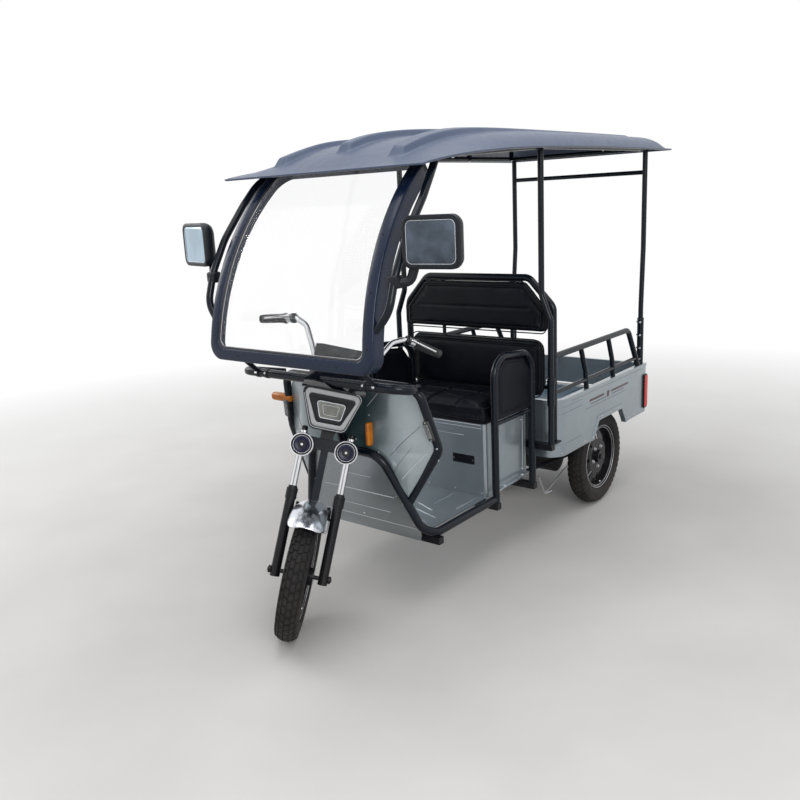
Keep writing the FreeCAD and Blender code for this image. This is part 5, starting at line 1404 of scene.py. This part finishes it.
def seat():
    """The bench's cushion, sewn in squares, with its two cords."""
    half, front, back = 0.307, 0.832 + FRONT_AXLE_Y, 1.189 + FRONT_AXLE_Y
    outline = [(-half, front), (half, front), (half, back), (-half, back)]
    place = Matrix.Translation(UP * SEAT_LID_TOP)
    middle = (front + back) / 2 + 0.01
    seams = [((-half, middle), (half, middle), 0.0085, 0.0060)]
    for x in (-0.154, 0.0, 0.154):
        seams.append(((x, front + 0.012), (x, back), 0.0065, 0.0055))
    for x in (-0.231, -0.077, 0.077, 0.231):
        seams.append(((x - 0.06, middle - 0.075), (x + 0.06, middle - 0.11), 0.0022, 0.0040))
        seams.append(((x - 0.05, middle + 0.10), (x + 0.06, middle + 0.06), 0.0020, 0.0045))
    cushion("seat_cushion_sewn", "seat_cushion", "seat_lid", outline, 0.026, 0.0655, 0.006, place, seams,
            cap=0.008, wrinkle=0.0011)
    piping("seat_cushion_piping", "seat_lid", outline, 0.026, 0.0035, 0.0555, place)
    piping("seat_cushion_lower_piping", "seat_lid", outline, 0.026, 0.0010, 0.0065, place, 0.0024)


def backrest_pads():
    """The two pads of the backrest, each with a seam and a thin cord inside its edge."""
    thick = 0.0375
    place = placement(at(0, PAD_BACK_Y, 0), ACROSS, UP, -BACK)
    upper = ((-391, 984), (391, 984), (391, 1092), (275, 1223), (-275, 1223), (-391, 1092))
    lower = ((-372, 690), (372, 690), (372, 966), (-372, 966))
    across_seam = ((-0.30, 1.098), (0.30, 1.098), 0.0030, 0.0060)
    pads = [(name, [(x / 1000, z / 1000) for x, z in corners], corner, inset, seams, wrinkle)
            for name, corners, corner, inset, seams, wrinkle in (
                ("backrest_upper", upper, 0.030, 0.030, [across_seam], 0.0006),
                ("backrest_lower", lower, 0.050, 0.034, [], 0.0008))]
    for name, outline, corner, inset, seams, wrinkle in pads:
        cushion(name + "_sewn", "backrest_pads", "chassis", outline, corner, thick, 0.004, place, seams,
                inset, 0.006, wrinkle)
    for name, outline, corner, _, _, _ in pads:
        piping(name + "_piping", "chassis", outline, corner, 0.0055, thick - 0.005, place)
    for name, outline, corner, inset, _, _ in pads:
        piping(name + "_inner_piping", "chassis", outline, corner, inset, thick, place, 0.0020)


def armrest_panels():
    """Thin padded panels in the armrest hoops, sewn with one channel near their edge."""
    corners = ((886, 668), (1162, 668), (1162, 832), (1104, 898), (944, 917), (886, 862))
    section = ((1.0, 0.0), (0.99, 0.0032), (0.95, 0.0046), (0.90, 0.0046), (0.885, 0.0034), (0.87, 0.0048),
               (0.7, 0.0062), (0.4, 0.0070), (0.15, 0.0072))
    for side, name in ((1, "left"), (-1, "right")):
        bm = bmesh.new()
        loop = rounded_loop([at(side * ARM_X, y, z) for y, z in corners], 0.02)
        middle = sum(loop, Vector()) / len(loop)
        for face in (1, -1):
            rings = [[bm.verts.new(middle + (point - middle) * share + ACROSS * (face * rise))
                      for point in loop]
                     for share, rise in section]
            joined(bm, rings)
            bm.faces.new(rings[-1])
        bmesh.ops.remove_doubles(bm, verts=bm.verts, dist=0.00001)
        made = finished(bm, "armrest_panel_" + name, "chassis", "seat_leather")
        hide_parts("armrest_panels")


seat()
backrest_pads()
armrest_panels()


# Front end

wheel_local = STEER.inverted() @ Vector(JOINTS["front_wheel_spin"]["pos_m"])
AXLE_AHEAD = -wheel_local.y * 1000
AXLE_UP = wheel_local.z * 1000


def around_wheel(x, radius, angle):
    """A point round the front wheel in its own plane, the angle turned forward from straight up."""
    return fork(x, AXLE_AHEAD + radius * math.sin(angle), AXLE_UP + radius * math.cos(angle))


def mudguard():
    """A polished guard with rolled edges, tapered round ends and its stays."""
    columns, rows = 28, 72
    bend = (64 ** 2 + 26 ** 2) / (2 * 26)
    start, stop = math.radians(46), math.radians(-59)

    def station(t, s, sink):
        tip = min(1.0, t / 0.11, (1 - t) / 0.11)
        width = 60.0 + 7.0 * math.exp(-(t / 0.32) ** 2)
        width *= 0.62 + 0.38 * max(0.0, 1 - (1 - tip) ** 2.6) ** 0.6
        x = s * width
        radius = 281.6 - bend + math.sqrt(bend ** 2 - x ** 2) - sink
        radius -= 1.0 * (1 - tip) ** 2
        return around_wheel(x, radius, start + (stop - start) * t)

    shares = [math.sin(math.pi / 2 * (2 * i / columns - 1)) for i in range(columns + 1)]
    outer, inner = ([[station(j / rows, s, sink) for s in shares] for j in range(rows + 1)]
                    for sink in (0.0, 2.2))
    bm = bmesh.new()
    shell(bm, outer, inner)
    edge = [(a + b) / 2 for a, b in zip(border(outer), border(inner))]
    sweep(bm, edge, 0.0021, closed=True, segments=8)
    made = finished(bm, "front_mudguard_polished", "steering", "chrome_guard")
    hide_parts("front_mudguard")
    bm = bmesh.new()
    stay = AXLE_AHEAD + 6
    for side in (-1, 1):
        path = [fork(side * x, stay, AXLE_UP + up)
                for x, up in ((58, 266), (63, 250), (64.5, 232), (66.5, 222), (74, 220))]
        sweep(bm, path, 0.0105, segments=12, flat=0.22)
        for up in (262, 246):
            spot = fork(side * 61.5, stay, AXLE_UP + up)
            hexagon(bm, frame_of(spot, fork_direction(side, 0, 0.25)), 0.009, 0.005)
    made = finished(bm, "front_mudguard_stays", "steering", "black_steel")
    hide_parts("front_mudguard")


def fork_details():
    """The round lamps' bezels, rings, dishes and centres, and the fork's caps, nuts, bolts and collars."""
    bm_chrome, bm_navy, bm_dot, bm_black, bm_gloss = (bmesh.new() for _ in range(5))
    bezel = ((0.0398, -0.003), (0.0398, 0.0012), (0.0404, 0.0022), (0.0420, 0.0026), (0.0432, 0.0014),
             (0.0436, -0.002), (0.0436, -0.010), (0.0424, -0.011), (0.0424, -0.003), (0.0398, -0.003))
    inner_ring = ((0.0397, -0.0010), (0.0397, -0.0075), (0.0333, -0.0075), (0.0333, -0.0040), (0.0397, -0.0010))
    dish = ((0.0318, -0.0072), (0.0318, -0.0042), (0.0300, -0.0036), (0.022, -0.0052), (0.012, -0.0064),
            (0.0052, -0.0066), (0.0052, -0.0076), (0, -0.0076))
    centre = ((0, -0.0074), (0.0050, -0.0074), (0.0048, -0.0050), (0.0030, -0.0034), (0, -0.0029))
    cap = ((0, -0.001), (0.0118, -0.001), (0.0118, 0.012), (0.0105, 0.0165), (0.006, 0.019), (0, 0.0195))
    nut = ((0.0140, 0), (0.0205, 0), (0.0205, 0.005), (0.0185, 0.0075), (0.0140, 0.0075), (0.0140, 0))
    collar = ((0.0137, 0.0), (0.0175, 0.0), (0.0170, 0.006), (0.0158, 0.009), (0.0137, 0.0095), (0.0137, 0))
    for side in (-1, 1):
        face = frame_of(fork(side * LAMP_X, 74, LAMP_UP), FORK_AHEAD)
        for target, profile, segments in ((bm_chrome, bezel, 64), (bm_gloss, inner_ring, 48),
                                          (bm_navy, dish, 56), (bm_dot, centre, 24)):
            lathe(target, profile, face, segments)
        sweep(bm_chrome, circle(face, 0.0325, -0.0046, 64), 0.0008, closed=True, segments=8)
        for profile, up, segments in ((cap, -345, 28), (nut, -361, 36), (collar, -566, 40)):
            lathe(bm_black, profile, frame_of(fork(side * STANCHION_X, STANCHION_AHEAD, up), head_z), segments)
        for up in (-372, -396):
            bolt = frame_of(fork(side * 118, STANCHION_AHEAD, up), fork_direction(side, 0, 0))
            hexagon(bm_black, bolt, 0.010, 0.006)
        for up in (-578, -600):
            place = STEER @ Matrix.Translation(Vector((side * STANCHION_X, -STANCHION_AHEAD, up)) / 1000)
            sweep(bm_black, circle(place, 0.0218, 0, 48), 0.0012, closed=True, segments=6)
    finished(bm_chrome, "lamp_bezels", "steering", "bezel_white")
    finished(bm_gloss, "lamp_inner_rings", "steering", "gloss_black")
    finished(bm_navy, "lamp_dishes", "steering", "navy_dish")
    finished(bm_dot, "lamp_centres", "steering", "white_lens")
    finished(bm_black, "fork_collars_and_bolts", "steering", "black_steel")


def pod_details():
    """The hood that slopes up from the headlamp to the bar, with its screws."""
    rows, columns = 10, 24
    shares = [2 * i / columns - 1 for i in range(columns + 1)]

    def hood(v, sink):
        half, ahead_mm, up = 118 - 14 * v, 167 - 84 * v ** 1.25 - sink, -181 + 82 * v ** 0.9 - sink
        return [fork(half * s, ahead_mm - 9 * abs(s) ** 3, up - 7 * abs(s) ** 4) for s in shares]

    bm = bmesh.new()
    shell(bm, *([hood(j / rows, sink) for j in range(rows + 1)] for sink in (0.0, 3.0)))
    finished(bm, "headlamp_hood", "steering", "gloss_black")
    bm = bmesh.new()
    for x in (-62, 62):
        screw(bm, frame_of(fork(x, 146, -158), fork_direction(0, 0.7, 0.7)), 0.0032, 0.0022)
    finished(bm, "headlamp_hood_screws", "steering", "satin_metal")


def bar_details():
    """Grip ribs and flanges, switch housings, the instrument's screen and frame, and their screws."""
    bm, bm_case, bm_metal = bmesh.new(), bmesh.new(), bmesh.new()
    for side in (-1, 1):
        elbow, tip = fork(side * 217, -60, 82), fork(side * 362, -140, 63)
        along = (tip - elbow).normalized()
        length = (tip - elbow).length
        start = 0.049
        place = frame_of(elbow + along * start, along)
        run = length - start
        for k in range(15):
            height = 0.012 + k * (run - 0.024) / 14
            sweep(bm, circle(place, 0.0165, height, 32), 0.0013, closed=True, segments=6)
        lathe(bm, [(0.0172, 0.0), (0.0215, 0.0005), (0.0225, 0.003), (0.0205, 0.006), (0.0172, 0.0065),
                   (0.0172, 0.0)], place, 40)
        case = frame_of(elbow + along * 0.006, along)
        lathe(bm_case, [(0.0127, -0.004), (0.0175, -0.003), (0.0205, 0.002), (0.0205, 0.012),
                        (0.0180, 0.0155), (0.0127, 0.016), (0.0127, -0.004)], case, 36)
        for turn_deg in (40, 150):
            spot = case @ Vector((0.0203 * math.cos(math.radians(turn_deg)),
                                  0.0203 * math.sin(math.radians(turn_deg)), 0.007))
            outward = (spot - (case @ Vector((0, 0, 0.007)))).normalized()
            screw(bm_metal, frame_of(spot - outward * 0.0006, outward), 0.0034, 0.0026)
    finished(bm, "grip_ribs", "steering", "grip_rubber")
    finished(bm_case, "switch_housings", "steering", "dark_plastic")
    top, bottom, middle = -15.6, -60.2, 49

    def panel(half, tall, corner):
        return rounded_loop([fork(half * u, middle + tall * v, top) for u, v in SQUARE], corner)

    bm = bmesh.new()
    slab(bm, panel(88, 22, 0.010), 0.0022, 0.0016)
    finished(bm, "instrument_screen", "steering", "dial")
    bm = bmesh.new()
    sweep(bm, panel(92, 25, 0.012), 0.0026, closed=True, segments=8)
    for u, v in SQUARE:
        screw(bm_metal, frame_of(fork(98 * u, middle + 19 * v, top), head_z), 0.0030, 0.0020)
    finished(bm, "instrument_frame", "steering", "gloss_black")
    for u, v in SQUARE:
        hexagon(bm_metal, frame_of(fork(24 * u, 13 * v, bottom), head_z), 0.008, 0.006)
    finished(bm_metal, "bar_screws", "steering", "satin_metal")


mudguard()
fork_details()
pod_details()
bar_details()


# Guard, shields and apron

def guard_details():
    """Painted highlight strokes, crease lines painted dark as shade, clips and fasteners on the leg shields,
    the guard and the apron, and painted highlights along the apron's beads.
    """
    bm, bm_dark, bm_clip, bm_highlight, bm_crease_shade = (bmesh.new() for _ in range(5))
    shield, tubes = ("leg_shields",), ("guard_tubes",)
    # The light strokes are painted highlights along the shields' pressed beads; the crease lines are painted
    # shade.
    lines = ((bm_highlight, ((253, 360, 562), (342, 360, 663)), 0.0036, 0.0002, 0.5, 14),
             (bm_highlight, ((112, 322, 834), (168, 322, 894)), 0.0016, 0.0002, 0.6, 10),
             (bm_crease_shade, ((212, 350, 652), (260, 350, 702), (326, 350, 770)), 0.0013, 0.0, 0.7, 10),
             (bm_crease_shade, ((196, 330, 536), (236, 340, 610), (292, 350, 684)), 0.0010, 0.0, 0.6, 10))
    for side in (-1, 1):
        for target, points, radius, lift, flat, steps in lines:
            route = [at(side * x, y, z) for x, y, z in points]
            laid_line(target, shield, route, BACK, radius, lift, flat, steps)
        top, low = at(side * 364, 350, 800), at(side * 379, 369, 722)
        along = (low - top).normalized()
        hit, normal = onto(tubes, (top + low) / 2, BACK)
        across = along.cross(normal).normalized()
        normal = across.cross(along).normalized()
        if normal.y > 0:
            normal = -normal
        centre = hit + normal * 0.001
        corners = [centre + across * a * 0.013 + along * b * 0.041 for a, b in SQUARE]
        if (corners[1] - corners[0]).cross(corners[2] - corners[1]).dot(normal) < 0:
            corners.reverse()
        slab(bm_clip, rounded_loop(corners, 0.006), 0.007, 0.0015)
        for k in range(4):
            spot = centre + normal * 0.0085 + across * (k - 1.5) * 0.0050
            sweep(bm, [spot - along * 0.029, spot + along * 0.029], 0.0009, segments=8)
        for b in (-0.036, 0.036):
            screw(bm, frame_of(centre + normal * 0.0072 + along * b, normal), 0.0030, 0.0020)
        for x, y, z in ((390, 398, 690), (384, 392, 640)):
            fastened(bm, tubes, at(side * x, y, z), BACK, 0.0042, 0.0026, screw)
        for x, z in ((300, 640), (120, 800), (60, 700), (214, 480)):
            fastened(bm, shield, at(side * x, 340, z), BACK, 0.0046, 0.0022, screw)
        for x in (300, 250):
            place = frame_of(at(side * x - 9, GUARD_BAR_Y, GUARD_BAR_Z), ACROSS)
            lathe(bm_dark, [(0.0171, 0), (0.0188, 0.001), (0.0188, 0.017), (0.0171, 0.018), (0.0171, 0)],
                  place, 32)
            fastened(bm, tubes, at(side * x, 150, 962), BACK, 0.009, 0.006)
    finished(bm, "guard_screws", "chassis", "satin_metal")
    finished(bm_dark, "guard_caps_and_bands", "chassis", "dark_plastic")
    finished(bm_clip, "ribbed_clips", "chassis", "clip_grey")
    finished(bm_highlight, "shield_painted_highlights", "chassis", "bright_paint")
    finished(bm_crease_shade, "shield_crease_shade", "chassis", "stripe_and_crease_shade")
    bm, bm_highlight = bmesh.new(), bmesh.new()
    apron = ("front_apron",)
    # Bright lines painted along the apron's beads and lip as highlights.
    for x0, x1, y, z, radius, flat, steps in ((-134, 93, 340, 540, 0.0022, 0.5, 20),
                                              (-190, 190, 360, 466, 0.0034, 0.5, 24),
                                              (-150, 150, 380, 392, 0.0018, 0.5, 20),
                                              (-274, 274, 385, 340, 0.0016, 0.6, 24)):
        laid_line(bm_highlight, apron, [at(x0, y, z), at(x1, y, z)], BACK, radius, 0.0, flat, steps)
    for x, z in ((-150, 625), (150, 625), (-225, 440), (225, 440), (-255, 355), (255, 355), (0, 355)):
        fastened(bm, apron, at(x, 350, z), BACK, 0.0046, 0.0024, screw)
    finished(bm_highlight, "apron_bright_lines", "chassis", "bright_paint")
    finished(bm, "apron_screws", "chassis", "satin_metal")


def screen_details():
    """The screws of the windscreen's frame."""
    bm = bmesh.new()
    places = [(side * screen_half(388, z), z) for side in (-1, 1) for z in (1120, 1300, 1480, 1640)]
    places += [(x, SCREEN_LOW[1]) for x in (-250, 0, 250)]
    for x, z in places:
        fastened(bm, ("windscreen_frame",), at(x, 100, z), BACK, 0.0040, 0.0020, screw)
    finished(bm, "windscreen_screws", "chassis", "black_steel")


guard_details()
screen_details()


# Posts, seat box and cargo box

def ring_of_studs(bm, names, centre, radius, angles, across, height):
    """Bolt heads on an upright tube, at angles round it."""
    place = frame_of(centre, UP)
    for angle in angles:
        spot = place @ Vector((radius * math.cos(angle), radius * math.sin(angle), 0))
        outward = (spot - centre).normalized()
        fastened(bm, names, spot + outward * 0.01, -outward, across, height)


def post_details():
    """Bolts and collars on the posts, and bolts on top of the roof."""
    bm, bm_band = bmesh.new(), bmesh.new()
    canopy = ("canopy_frame",)
    for side in (-1, 1):
        x = side * POST_X
        for z in (776, 790):
            ring_of_studs(bm, canopy, at(x, POST_Y, z), 0.02, (-1.9, -0.9) if side > 0 else (-2.3, -1.2),
                          0.008, 0.006)
        for z in (800, 842):
            place = frame_of(at(x, POST_Y, z), UP)
            lathe(bm_band, [(0.0131, 0), (0.0150, 0.0006), (0.0150, 0.0064), (0.0131, 0.007), (0.0131, 0)],
                  place, 36)
        rear = side * REAR_POST_X
        for z in (700, 760, 830, 900):
            angles = 0.3 if side > 0 else math.pi - 0.3, -1.4
            ring_of_studs(bm, canopy, at(rear, REAR_POST_Y, z), 0.02, angles, 0.0075, 0.0055)
        place = frame_of(at(rear, REAR_POST_Y, 912), UP)
        lathe(bm_band, [(0.0131, 0), (0.0178, 0.0005), (0.0178, 0.006), (0.0160, 0.010), (0.0131, 0.011),
                        (0.0131, 0)], place, 36)
        for y in ROOF_BLOCK_ROWS:
            fastened(bm, canopy, at(side * ROOF_RAIL_X, y, 1752), UP, 0.009, 0.0055)
    finished(bm, "post_bolts", "chassis", "satin_metal")
    finished(bm_band, "post_collars", "chassis", "dark_plastic")


BOX_FRONT_Y, BOX_X = 838, 304


def seat_box_details():
    """The seat box's plate, bright lines painted as highlights, screws and side strips."""
    bm_black, bm_screw, bm_highlight = (bmesh.new() for _ in range(3))
    box_node = ("seat_box",)
    plate = [at(x, BOX_FRONT_Y, z) for x, z in ((136, 474), (247, 474), (247, 513), (136, 513))]
    laid_patch(bm_black, box_node, plate, BACK, 0.0022)
    for x in (143, 240):
        fastened(bm_screw, box_node, at(x, BOX_FRONT_Y, 493), BACK, 0.0034, 0.0044, screw)
    # Bright lines painted along the box's top edge, its front and its sides as highlights.
    for x0, x1, y, z, radius, lift, flat, steps in ((-286, 286, 833, 655, 0.0018, 0.0006, 0.7, 24),
                                                    (-286, 286, 833, 641, 0.0012, 0.0004, 0.7, 24),
                                                    (62, 197, BOX_FRONT_Y, 600, 0.0020, 0.0004, 0.5, 12)):
        laid_line(bm_highlight, box_node, [at(x0, y, z), at(x1, y, z)], BACK, radius, lift, flat, steps)
    for x in (-280, -140, 0, 140, 280):
        fastened(bm_screw, box_node, at(x, BOX_FRONT_Y, 350), BACK, 0.0044, 0.0024, screw)
    for side in (-1, 1):
        x = side * BOX_X
        for y in (905, 1140):
            ends = [at(x, y, 372), at(x, y, 626)]
            laid_line(bm_highlight, box_node, ends, ACROSS * -side, 0.0014, 0.0004, 0.6, 12)
        for y in (912, 1132):
            for z in (385, 612):
                fastened(bm_screw, box_node, at(x, y, z), ACROSS * -side, 0.0044, 0.0026, screw)
    finished(bm_black, "seat_box_plate", "chassis", "gloss_black")
    finished(bm_highlight, "seat_box_bright_lines", "chassis", "bright_paint")
    bm = bmesh.new()
    for side in (-1, 1):
        route = ((325, 858, 342), (327, 890, 352), (328, 940, 361), (328, 1010, 366), (328, 1090, 367),
                 (327, 1150, 366))
        points = [at(side * x, y, z) for x, y, z in route]
        sweep(bm, points, 0.0105, segments=12, flat=0.34)
        for point in (points[0], points[2], points[4]):
            hexagon(bm_screw, frame_of(point + Vector((side * 0.003, 0, 0.001)), Vector((side, -0.2, 0.5))),
                    0.009, 0.006)
    finished(bm, "seat_box_side_strips", "chassis", "body_blue")
    finished(bm_screw, "seat_box_screws", "chassis", "satin_metal")


WALL_X = 412


def cargo_details():
    """Stripes, fine lines and screws on the cargo box's side walls."""
    bm_stripe, bm_line, bm_screw = (bmesh.new() for _ in range(3))
    walls = ("cargo_side_walls",)
    slant = 6
    bands = ((bm_stripe, 0.0007, ((1600, 1762, 602, 613), (1796, 1822, 586, 616), (1846, 2052, 602, 612))),
             (bm_line, 0.0006, ((1612, 1786, 586, 592), (1852, 2000, 588, 594), (1560, 2030, 572, 575))))
    for side in (-1, 1):
        inward = ACROSS * -side
        x = side * WALL_X
        for target, lift, spans in bands:
            for y0, y1, z0, z1 in spans:
                corners = [at(x, y0, z0), at(x, y1, z0), at(x, y1 + slant, z1), at(x, y0 + slant, z1)]
                laid_patch(target, walls, corners, inward, lift, 24, 2)
        laid_line(bm_line, walls, [at(x, 1420, 649), at(x, 2236, 649)], inward, 0.0012, 0.0, 0.6, 40)
        for y in (1330, 1560, 1640, 2066, 2140):
            fastened(bm_screw, walls, at(x, y, 415), inward, 0.0044, 0.0024, screw)
        for y, z in ((1665, 455), (1740, 500), (1840, 500), (1940, 500), (2014, 455)):
            fastened(bm_screw, walls, at(x, y, z), inward, 0.0036, 0.0020, screw)
    finished(bm_stripe, "side_stripes", "chassis", "stripe_and_crease_shade")
    finished(bm_line, "side_fine_lines", "chassis", "stripe_soft")
    finished(bm_screw, "cargo_screws", "chassis", "satin_metal")


def cargo_floor_ribs():
    """The pressed ribs along the cargo floor."""
    bm = bmesh.new()
    for x in range(-330, 331, 66):
        laid_line(bm, ("cargo_floor",), [at(x, 1330, 512), at(x, 2230, 512)], -UP, 0.0058, 0.0, 0.5, 12)
    # The ribs share the cargo floor's colour, which is painted shade.
    finished(bm, "cargo_floor_ribs", "chassis", "cargo_blue")


GATE_Y = 2290


def tailgate_details():
    """The tailgate's pressed frames and screws."""
    bm, bm_metal = bmesh.new(), bmesh.new()
    gate = ("tailgate",)
    for x0, x1 in ((-340, -36), (36, 340)):
        outline = [at(x, GATE_Y, z) for x, z in ((x0, 548), (x1, 548), (x1, 644), (x0, 644))]
        path = [onto(gate, point, -BACK)[0] for point in rounded_loop(outline, 0.018)]
        sweep(bm, path, 0.0042, closed=True, segments=8, flat=0.6)
    for side in (-1, 1):
        for z in (552, 640):
            fastened(bm_metal, gate, at(side * 362, GATE_Y, z), -BACK, 0.0042, 0.0026, screw)
        for x in (235, 265):
            for z in (545, 565):
                fastened(bm_metal, gate, at(side * x, GATE_Y, z), -BACK, 0.0050, 0.0030, screw)
    finished(bm, "tailgate_pressings", "tailgate", "body_blue")
    finished(bm_metal, "tailgate_screws", "tailgate", "satin_metal")


def rear_lamp_pieces():
    """Lenses that wrap the rear corners, round at both ends, over a dark base."""
    bm, bm_base = bmesh.new(), bmesh.new()
    for side in (-1, 1):
        for target, shrink, outset in ((bm_base, 0.0, 0.0), (bm, 0.004, 0.0042)):
            loops = []
            low, top = 424 + shrink * 1000, 610 - shrink * 1000
            for k in range(17):
                share = k / 16
                z = low + (top - low) * (0.5 - 0.5 * math.cos(math.pi * share))
                end = min(1.0, (min(z - low, top - z) + 2.0) / 14.0)
                inset = (1 - math.sqrt(max(0.0, 1 - (1 - end) ** 2))) * 5.0
                proud = (416.2, 422.2 + outset * 1000 * 0.9 - shrink * 700)
                rear = (2290.2, 2303.0 + outset * 1000 - shrink * 700)
                front = 2254 + shrink * 1000
                inner = 396 + shrink * 1000
                outer_x, outer_y = proud[1] - inset, rear[1] - inset
                ring = [(inner, rear[0]), (inner, outer_y - 1.5), (inner + 2, outer_y),
                        (outer_x - 10, outer_y), (outer_x - 4, outer_y - 1.5), (outer_x - 1.2, outer_y - 4.5),
                        (outer_x, outer_y - 10), (outer_x, front + 3), (outer_x - 1.5, front),
                        (proud[0], front), (proud[0], rear[0])]
                loops.append([at(side * px, py, z) for px, py in ring])
            loft(target, loops)
    made = finished(bm, "rear_lamp_lenses", "chassis", "red_lens")
    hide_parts("rear_lamps")
    finished(bm_base, "rear_lamp_bases", "chassis", "dark_plastic")


SPRING_X = 200


def running_gear_details():
    """The U-bolts round the leaf springs and the brake's rod and cable."""
    bm, bm_rod = bmesh.new(), bmesh.new()
    half, low, high = 25, 262, 300
    for x in (-SPRING_X, SPRING_X):
        for y in (1826, 1898):
            corners = ((x - half, high), (x - half, low), (x + half, low), (x + half, high))
            sweep(bm, [at(across, y, z) for across, z in corners], 0.0045, segments=8)
            for end in (x - half, x + half):
                hexagon(bm, frame_of(at(end, y, high), UP), 0.012, 0.009)
    rod = ((300, 1300, 292), (301, 1322, 250), (300, 1350, 200), (300, 1362, 190), (300, 1421, 184))
    cable = ((298, 1360, 194), (296, 1400, 196), (290, 1460, 208), (280, 1540, 226), (268, 1640, 240),
             (262, 1740, 246), (258, 1800, 248))
    for route, radius in ((rod, 0.0038), (cable, 0.0022)):
        sweep(bm_rod, [at(*point) for point in route], radius, segments=8)
    finished(bm, "spring_clamps", "chassis", "black_steel")
    finished(bm_rod, "brake_rod", "chassis", "satin_metal")


post_details()
seat_box_details()
cargo_details()
cargo_floor_ribs()
tailgate_details()
rear_lamp_pieces()
running_gear_details()


# Floor, world and lamps

def floor_stage():
    """A pale floor that fades into the white surroundings away from the vehicle."""
    bm = bmesh.new()
    size = 40.0
    bm.faces.new([bm.verts.new(Vector((x * size, y * size, 0))) for x, y in SQUARE])
    made = placed("floor", mesh_from(bm, "floor"))
    material, tree, shader, place = node_tree("floor_surface")
    from_middle = tree.nodes.new("ShaderNodeVectorMath")
    from_middle.operation = "LENGTH"
    tree.links.new(place, from_middle.inputs[0])
    tone = ramp(tree, noise_node(tree, place, 1.3, 6.0), (0.50, 0.485, 0.465), (0.55, 0.535, 0.52))
    tree.links.new(tone, shader.inputs["Base Color"])
    shader.inputs["Roughness"].default_value = 0.85
    bump(tree, shader, noise_node(tree, place, 120.0, 3.0), 0.2, 0.001)
    light = tree.nodes.new("ShaderNodeEmission")
    light.inputs["Color"].default_value = (1, 1, 1, 1)
    light.inputs["Strength"].default_value = 1.0
    far = spread(tree, from_middle.outputs["Value"], 0.0, 1.0, 1.6, 5.5)
    path = tree.nodes.new("ShaderNodeLightPath")
    seen = math_node(tree, "MAXIMUM", path.outputs["Is Camera Ray"], path.outputs["Is Glossy Ray"])
    mix = tree.nodes.new("ShaderNodeMixShader")
    tree.links.new(math_node(tree, "MULTIPLY", far, seen), mix.inputs["Fac"])
    tree.links.new(shader.outputs["BSDF"], mix.inputs[1])
    tree.links.new(light.outputs["Emission"], mix.inputs[2])
    tree.links.new(mix.outputs["Shader"], tree.nodes["Material Output"].inputs["Surface"])
    made.data.materials.append(material)


def backdrop(tree, colour, strength):
    """One of the world's two backgrounds."""
    made = tree.nodes.new("ShaderNodeBackground")
    made.inputs["Color"].default_value = (*colour, 1)
    made.inputs["Strength"].default_value = strength
    return made.outputs["Background"]


def world_light():
    """White where it is seen, mirrored or seen through glass, and dimmer as a light."""
    world = bpy.data.worlds.new("studio")
    bpy.context.scene.world = world
    world.use_nodes = True
    tree = world.node_tree
    tree.nodes.clear()
    out = tree.nodes.new("ShaderNodeOutputWorld")
    mix = tree.nodes.new("ShaderNodeMixShader")
    path = tree.nodes.new("ShaderNodeLightPath")
    seen = math_node(tree, "MAXIMUM", path.outputs["Is Camera Ray"], path.outputs["Is Glossy Ray"])
    seen = math_node(tree, "MAXIMUM", seen, path.outputs["Is Transmission Ray"])
    tree.links.new(seen, mix.inputs["Fac"])
    tree.links.new(backdrop(tree, (0.93, 0.96, 1.0), 0.62), mix.inputs[1])
    tree.links.new(backdrop(tree, (1, 1, 1), 1.0), mix.inputs[2])
    tree.links.new(mix.outputs["Shader"], out.inputs["Surface"])


def lamp(name, location, aim, size, power):
    """A rectangular lamp turned towards a point."""
    data = bpy.data.lights.new(name, "AREA")
    data.shape = "RECTANGLE"
    data.size, data.size_y = size
    data.energy = power
    placed(name, data).matrix_world = frame_of(Vector(location), Vector(location) - Vector(aim))


floor_stage()
world_light()
lamp("overhead", (0.4, -0.3, 5.2), (0, 0, 0.8), (5.0, 5.0), 170)
lamp("front_left", (4.2, -3.6, 3.2), (0, -0.2, 0.7), (2.6, 2.2), 120)
lamp("side_right", (-4.0, -1.5, 3.0), (0, 0, 0.9), (2.4, 2.0), 55)
